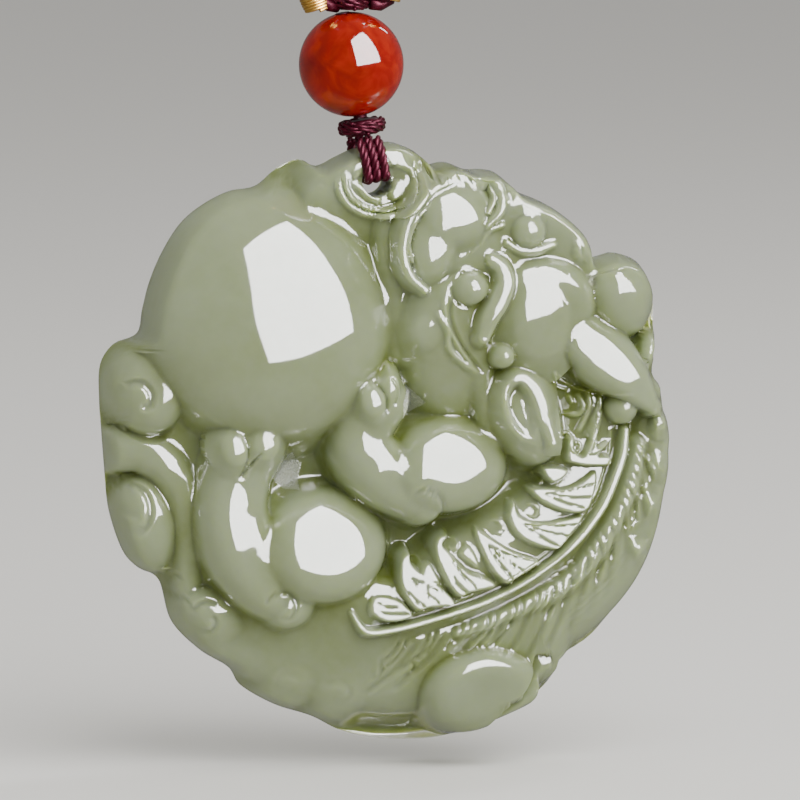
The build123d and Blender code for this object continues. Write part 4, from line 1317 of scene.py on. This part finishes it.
def neck_route(settings):
    """The neck loop's control points from the left end to the right one, and the cord's radius."""
    low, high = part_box("neck_cord")
    radius = (high.y - low.y) / 2 / MM
    arc = high.x / MM - radius
    centre = high.z / MM - radius - arc
    spread, drop = settings.neck_spread / MM, settings.neck_drop / MM
    half = math.pi - math.acos(arc / math.hypot(spread, drop)) + math.atan2(spread, drop)
    step = 2 * half / ARC_CORNERS
    corners = []
    for i in range(ARC_CORNERS):
        angle = step * (i + 0.5) - half
        reach = arc / math.cos(step / 2)
        corners.append(Vector((reach * math.sin(angle), 0, centre + reach * math.cos(angle))))
    tangent = Vector((arc * math.sin(half), 0, centre + arc * math.cos(half)))
    foot = Vector((spread, 0, centre - drop))
    run = (foot - tangent).normalized()
    shoulder = tangent + run * arc * math.tan(step / 2)
    right = [shoulder, *(foot + run * share for share in RUN_POINTS), foot + KNOT_END]
    left = [Vector((-point.x, 0, point.z)) for point in reversed(right)]
    return left + corners + right, radius


class PENDANT_OT_gold(bpy.types.Operator):
    """Wind the gold thread sleeves on the neck cord's ends"""

    bl_idname = "pendant.gold"
    bl_label = "Wind Gold Thread"

    def execute(self, context):
        cords = context.scene.cord_settings
        gold = spun_thread("wound_gold_thread", cords.gold_colour, cords.gold_glint_colour, (1, 1, 1),
                           GOLD_THREAD, GOLD_FIBRE, GOLD_RELIEF, metallic=0.85, roughness=0.34,
                           ior=1.5)
        points, _ = neck_route(cords)
        for side, run in (("left", points[3] - points[2]), ("right", points[-4] - points[-3])):
            up = run.normalized()
            foot, reach, length = round_body("gold_wrap_" + side, up)
            path = winding(foot + up * GOLD_THREAD, up, reach - GOLD_THREAD, length - 2 * GOLD_THREAD,
                           length / GOLD_PITCH, GOLD_HOLLOW, spacing=0.1)
            item = ply_tubes("gold_winding_" + side, [path], GOLD_THREAD, sides=8)
            give(item, gold, "cord", "gold_wrap_" + side)
        return {"FINISHED"}


# Lamps round the disc's middle: angles in degrees from the face and up, sizes in metres, power in watts.
Lamp = namedtuple("Lamp", "name azimuth elevation distance width height power shines")
LAMPS = (
    Lamp("soft_key", 24, 40, 0.55, 0.60, 0.70, 6.5, False),
    Lamp("left_fill", -70, 25, 0.80, 0.60, 0.80, 1.6, False),
    Lamp("back_strip", 128, 48, 0.60, 0.05, 0.40, 0.8, True),
    Lamp("floor_wash", 180, 62, 4.0, 7.0, 6.0, 95.0, False),
)

# The window's corners, as angles like the lamps' own, and its distance in metres.
WINDOW_CORNERS = ((-13.9, 58.1), (60.8, 71.2), (52.9, 41.3), (56.1, 9.0), (1.1, 1.9))
WINDOW_DISTANCE = 0.60
FLOOR_SIZE = 24.0


def direction(azimuth, elevation):
    """A unit vector out from the face, turned to the right and up by degrees."""
    a, e = math.radians(azimuth), math.radians(elevation)
    return Vector((math.sin(a) * math.cos(e), -math.cos(a) * math.cos(e), math.sin(e)))


class PENDANT_OT_stage(bpy.types.Operator):
    """Set the floor, the soft lights and the camera"""

    bl_idname = "pendant.stage"
    bl_label = "Set Stage"

    def execute(self, context):
        settings = context.scene.stage_settings
        self.floor(settings)
        self.lights(context, settings)
        self.camera(context)
        return {"FINISHED"}

    def floor(self, settings):
        bpy.ops.object.select_all(action="DESELECT")
        height = CAD_LOW.z - settings.floor_gap
        bpy.ops.mesh.primitive_plane_add(size=FLOOR_SIZE, location=(0, 0, height))
        floor = bpy.context.object
        floor.name = "floor"
        # Painted card: it takes soft shadows and is so matte that nothing shows in it.
        material, tree = new_material("matte_card")
        shader = add_node(tree, "ShaderNodeBsdfPrincipled", {
            "Base Color": colour4(settings.floor_colour), "Roughness": 0.9, "Specular IOR Level": 0.0})
        finish_material(tree, shader)
        floor.data.materials.append(material)
        floor.visible_glossy = False

    def lights(self, context, settings):
        world = bpy.data.worlds.new("dim_studio")
        world.use_nodes = True
        background = world.node_tree.nodes["Background"]
        background.inputs["Color"].default_value = (1.0, 0.99, 0.97, 1.0)
        background.inputs["Strength"].default_value = 0.20
        context.scene.world = world
        middle = DISC * MM
        for lamp in LAMPS:
            data = bpy.data.lights.new(lamp.name, "AREA")
            data.shape = "RECTANGLE"
            data.size, data.size_y, data.energy = lamp.width, lamp.height, lamp.power
            item = bpy.data.objects.new(lamp.name, data)
            context.scene.collection.objects.link(item)
            away = direction(lamp.azimuth, lamp.elevation)
            item.location = middle + away * lamp.distance
            item.rotation_mode = "QUATERNION"
            item.rotation_quaternion = away.to_track_quat("Z", "Y")
            item.visible_glossy = lamp.shines
        self.window(middle, settings)

    def window(self, middle, settings):
        """The bright window whose outline shows in every polished crown."""
        ways = [direction(azimuth, elevation) for azimuth, elevation in WINDOW_CORNERS]
        facing = sum(ways, Vector()).normalized()
        corners = [middle + way * WINDOW_DISTANCE / way.dot(facing) for way in ways]
        mesh = bpy.data.meshes.new("window")
        mesh.from_pydata([tuple(corner) for corner in corners], [], [tuple(range(len(corners)))])
        item = bpy.data.objects.new("window", mesh)
        bpy.context.scene.collection.objects.link(item)
        # Daylight through thin white cloth: one even glow with a sharp outline.
        material, tree = new_material("window_glow")
        shader = add_node(tree, "ShaderNodeEmission", {"Strength": settings.window_strength})
        finish_material(tree, shader)
        mesh.materials.append(material)
        item.visible_camera = item.visible_diffuse = item.visible_transmission = item.visible_shadow = False

    def camera(self, context):
        """The camera looks at the picture's middle from the picture's angle."""
        back = direction(math.degrees(VIEW_AZIMUTH), math.degrees(VIEW_ELEVATION))
        right = Vector((math.cos(VIEW_AZIMUTH), math.sin(VIEW_AZIMUTH), 0))
        up = back.cross(right)
        half = PICTURE_SIDE / 2
        aim = DISC + right * (half - DISC_PX) / PIXELS_PER_MM + up * (DISC_PY - half) / PIXELS_PER_MM
        distance = LENS_MM * PICTURE_SIDE / PIXELS_PER_MM / SENSOR_MM
        camera = bpy.data.cameras.new("camera")
        camera.lens, camera.sensor_width = LENS_MM, SENSOR_MM
        camera.clip_start, camera.clip_end = 0.01, 100.0
        camera.dof.use_dof = False
        item = bpy.data.objects.new("camera", camera)
        context.scene.collection.objects.link(item)
        item.location = (aim + back * distance) * MM
        item.rotation_mode = "QUATERNION"
        item.rotation_quaternion = back.to_track_quat("Z", "Y")
        context.scene.camera = item


class PENDANT_PT_panel(bpy.types.Panel):
    """Lists the steps and the sizes and colours that may be changed"""

    bl_idname = "PENDANT_PT_panel"
    bl_label = "Jade Pendant"
    bl_space_type = "VIEW_3D"
    bl_region_type = "UI"
    bl_category = "Pendant"

    def draw(self, context):
        for step in STEPS:
            self.layout.operator(step.bl_idname)
        for name in SETTINGS:
            group = getattr(context.scene, name)
            box = self.layout.box()
            for key in group.bl_rna.properties.keys():
                if key not in ("rna_type", "name"):
                    box.prop(group, key)


SETTINGS = {"jade_settings": JadeSettings, "bead_settings": BeadSettings,
            "cord_settings": CordSettings, "stage_settings": StageSettings}
STEPS = (PENDANT_OT_stage, PENDANT_OT_cords, PENDANT_OT_gold, PENDANT_OT_bead, PENDANT_OT_carving)


def register():
    for group in SETTINGS.values():
        bpy.utils.register_class(group)
    for name, group in SETTINGS.items():
        setattr(bpy.types.Scene, name, PointerProperty(type=group))
    for step in STEPS:
        bpy.utils.register_class(step)
    bpy.utils.register_class(PENDANT_PT_panel)


def unregister():
    bpy.utils.unregister_class(PENDANT_PT_panel)
    for step in reversed(STEPS):
        bpy.utils.unregister_class(step)
    for name, group in SETTINGS.items():
        delattr(bpy.types.Scene, name)
        bpy.utils.unregister_class(group)


def main():
    register()
    bpy.ops.pendant.stage()
    bpy.ops.pendant.cords()
    bpy.ops.pendant.gold()
    bpy.ops.pendant.bead()
    bpy.ops.pendant.carving()


if __name__ == "__main__":
    main()
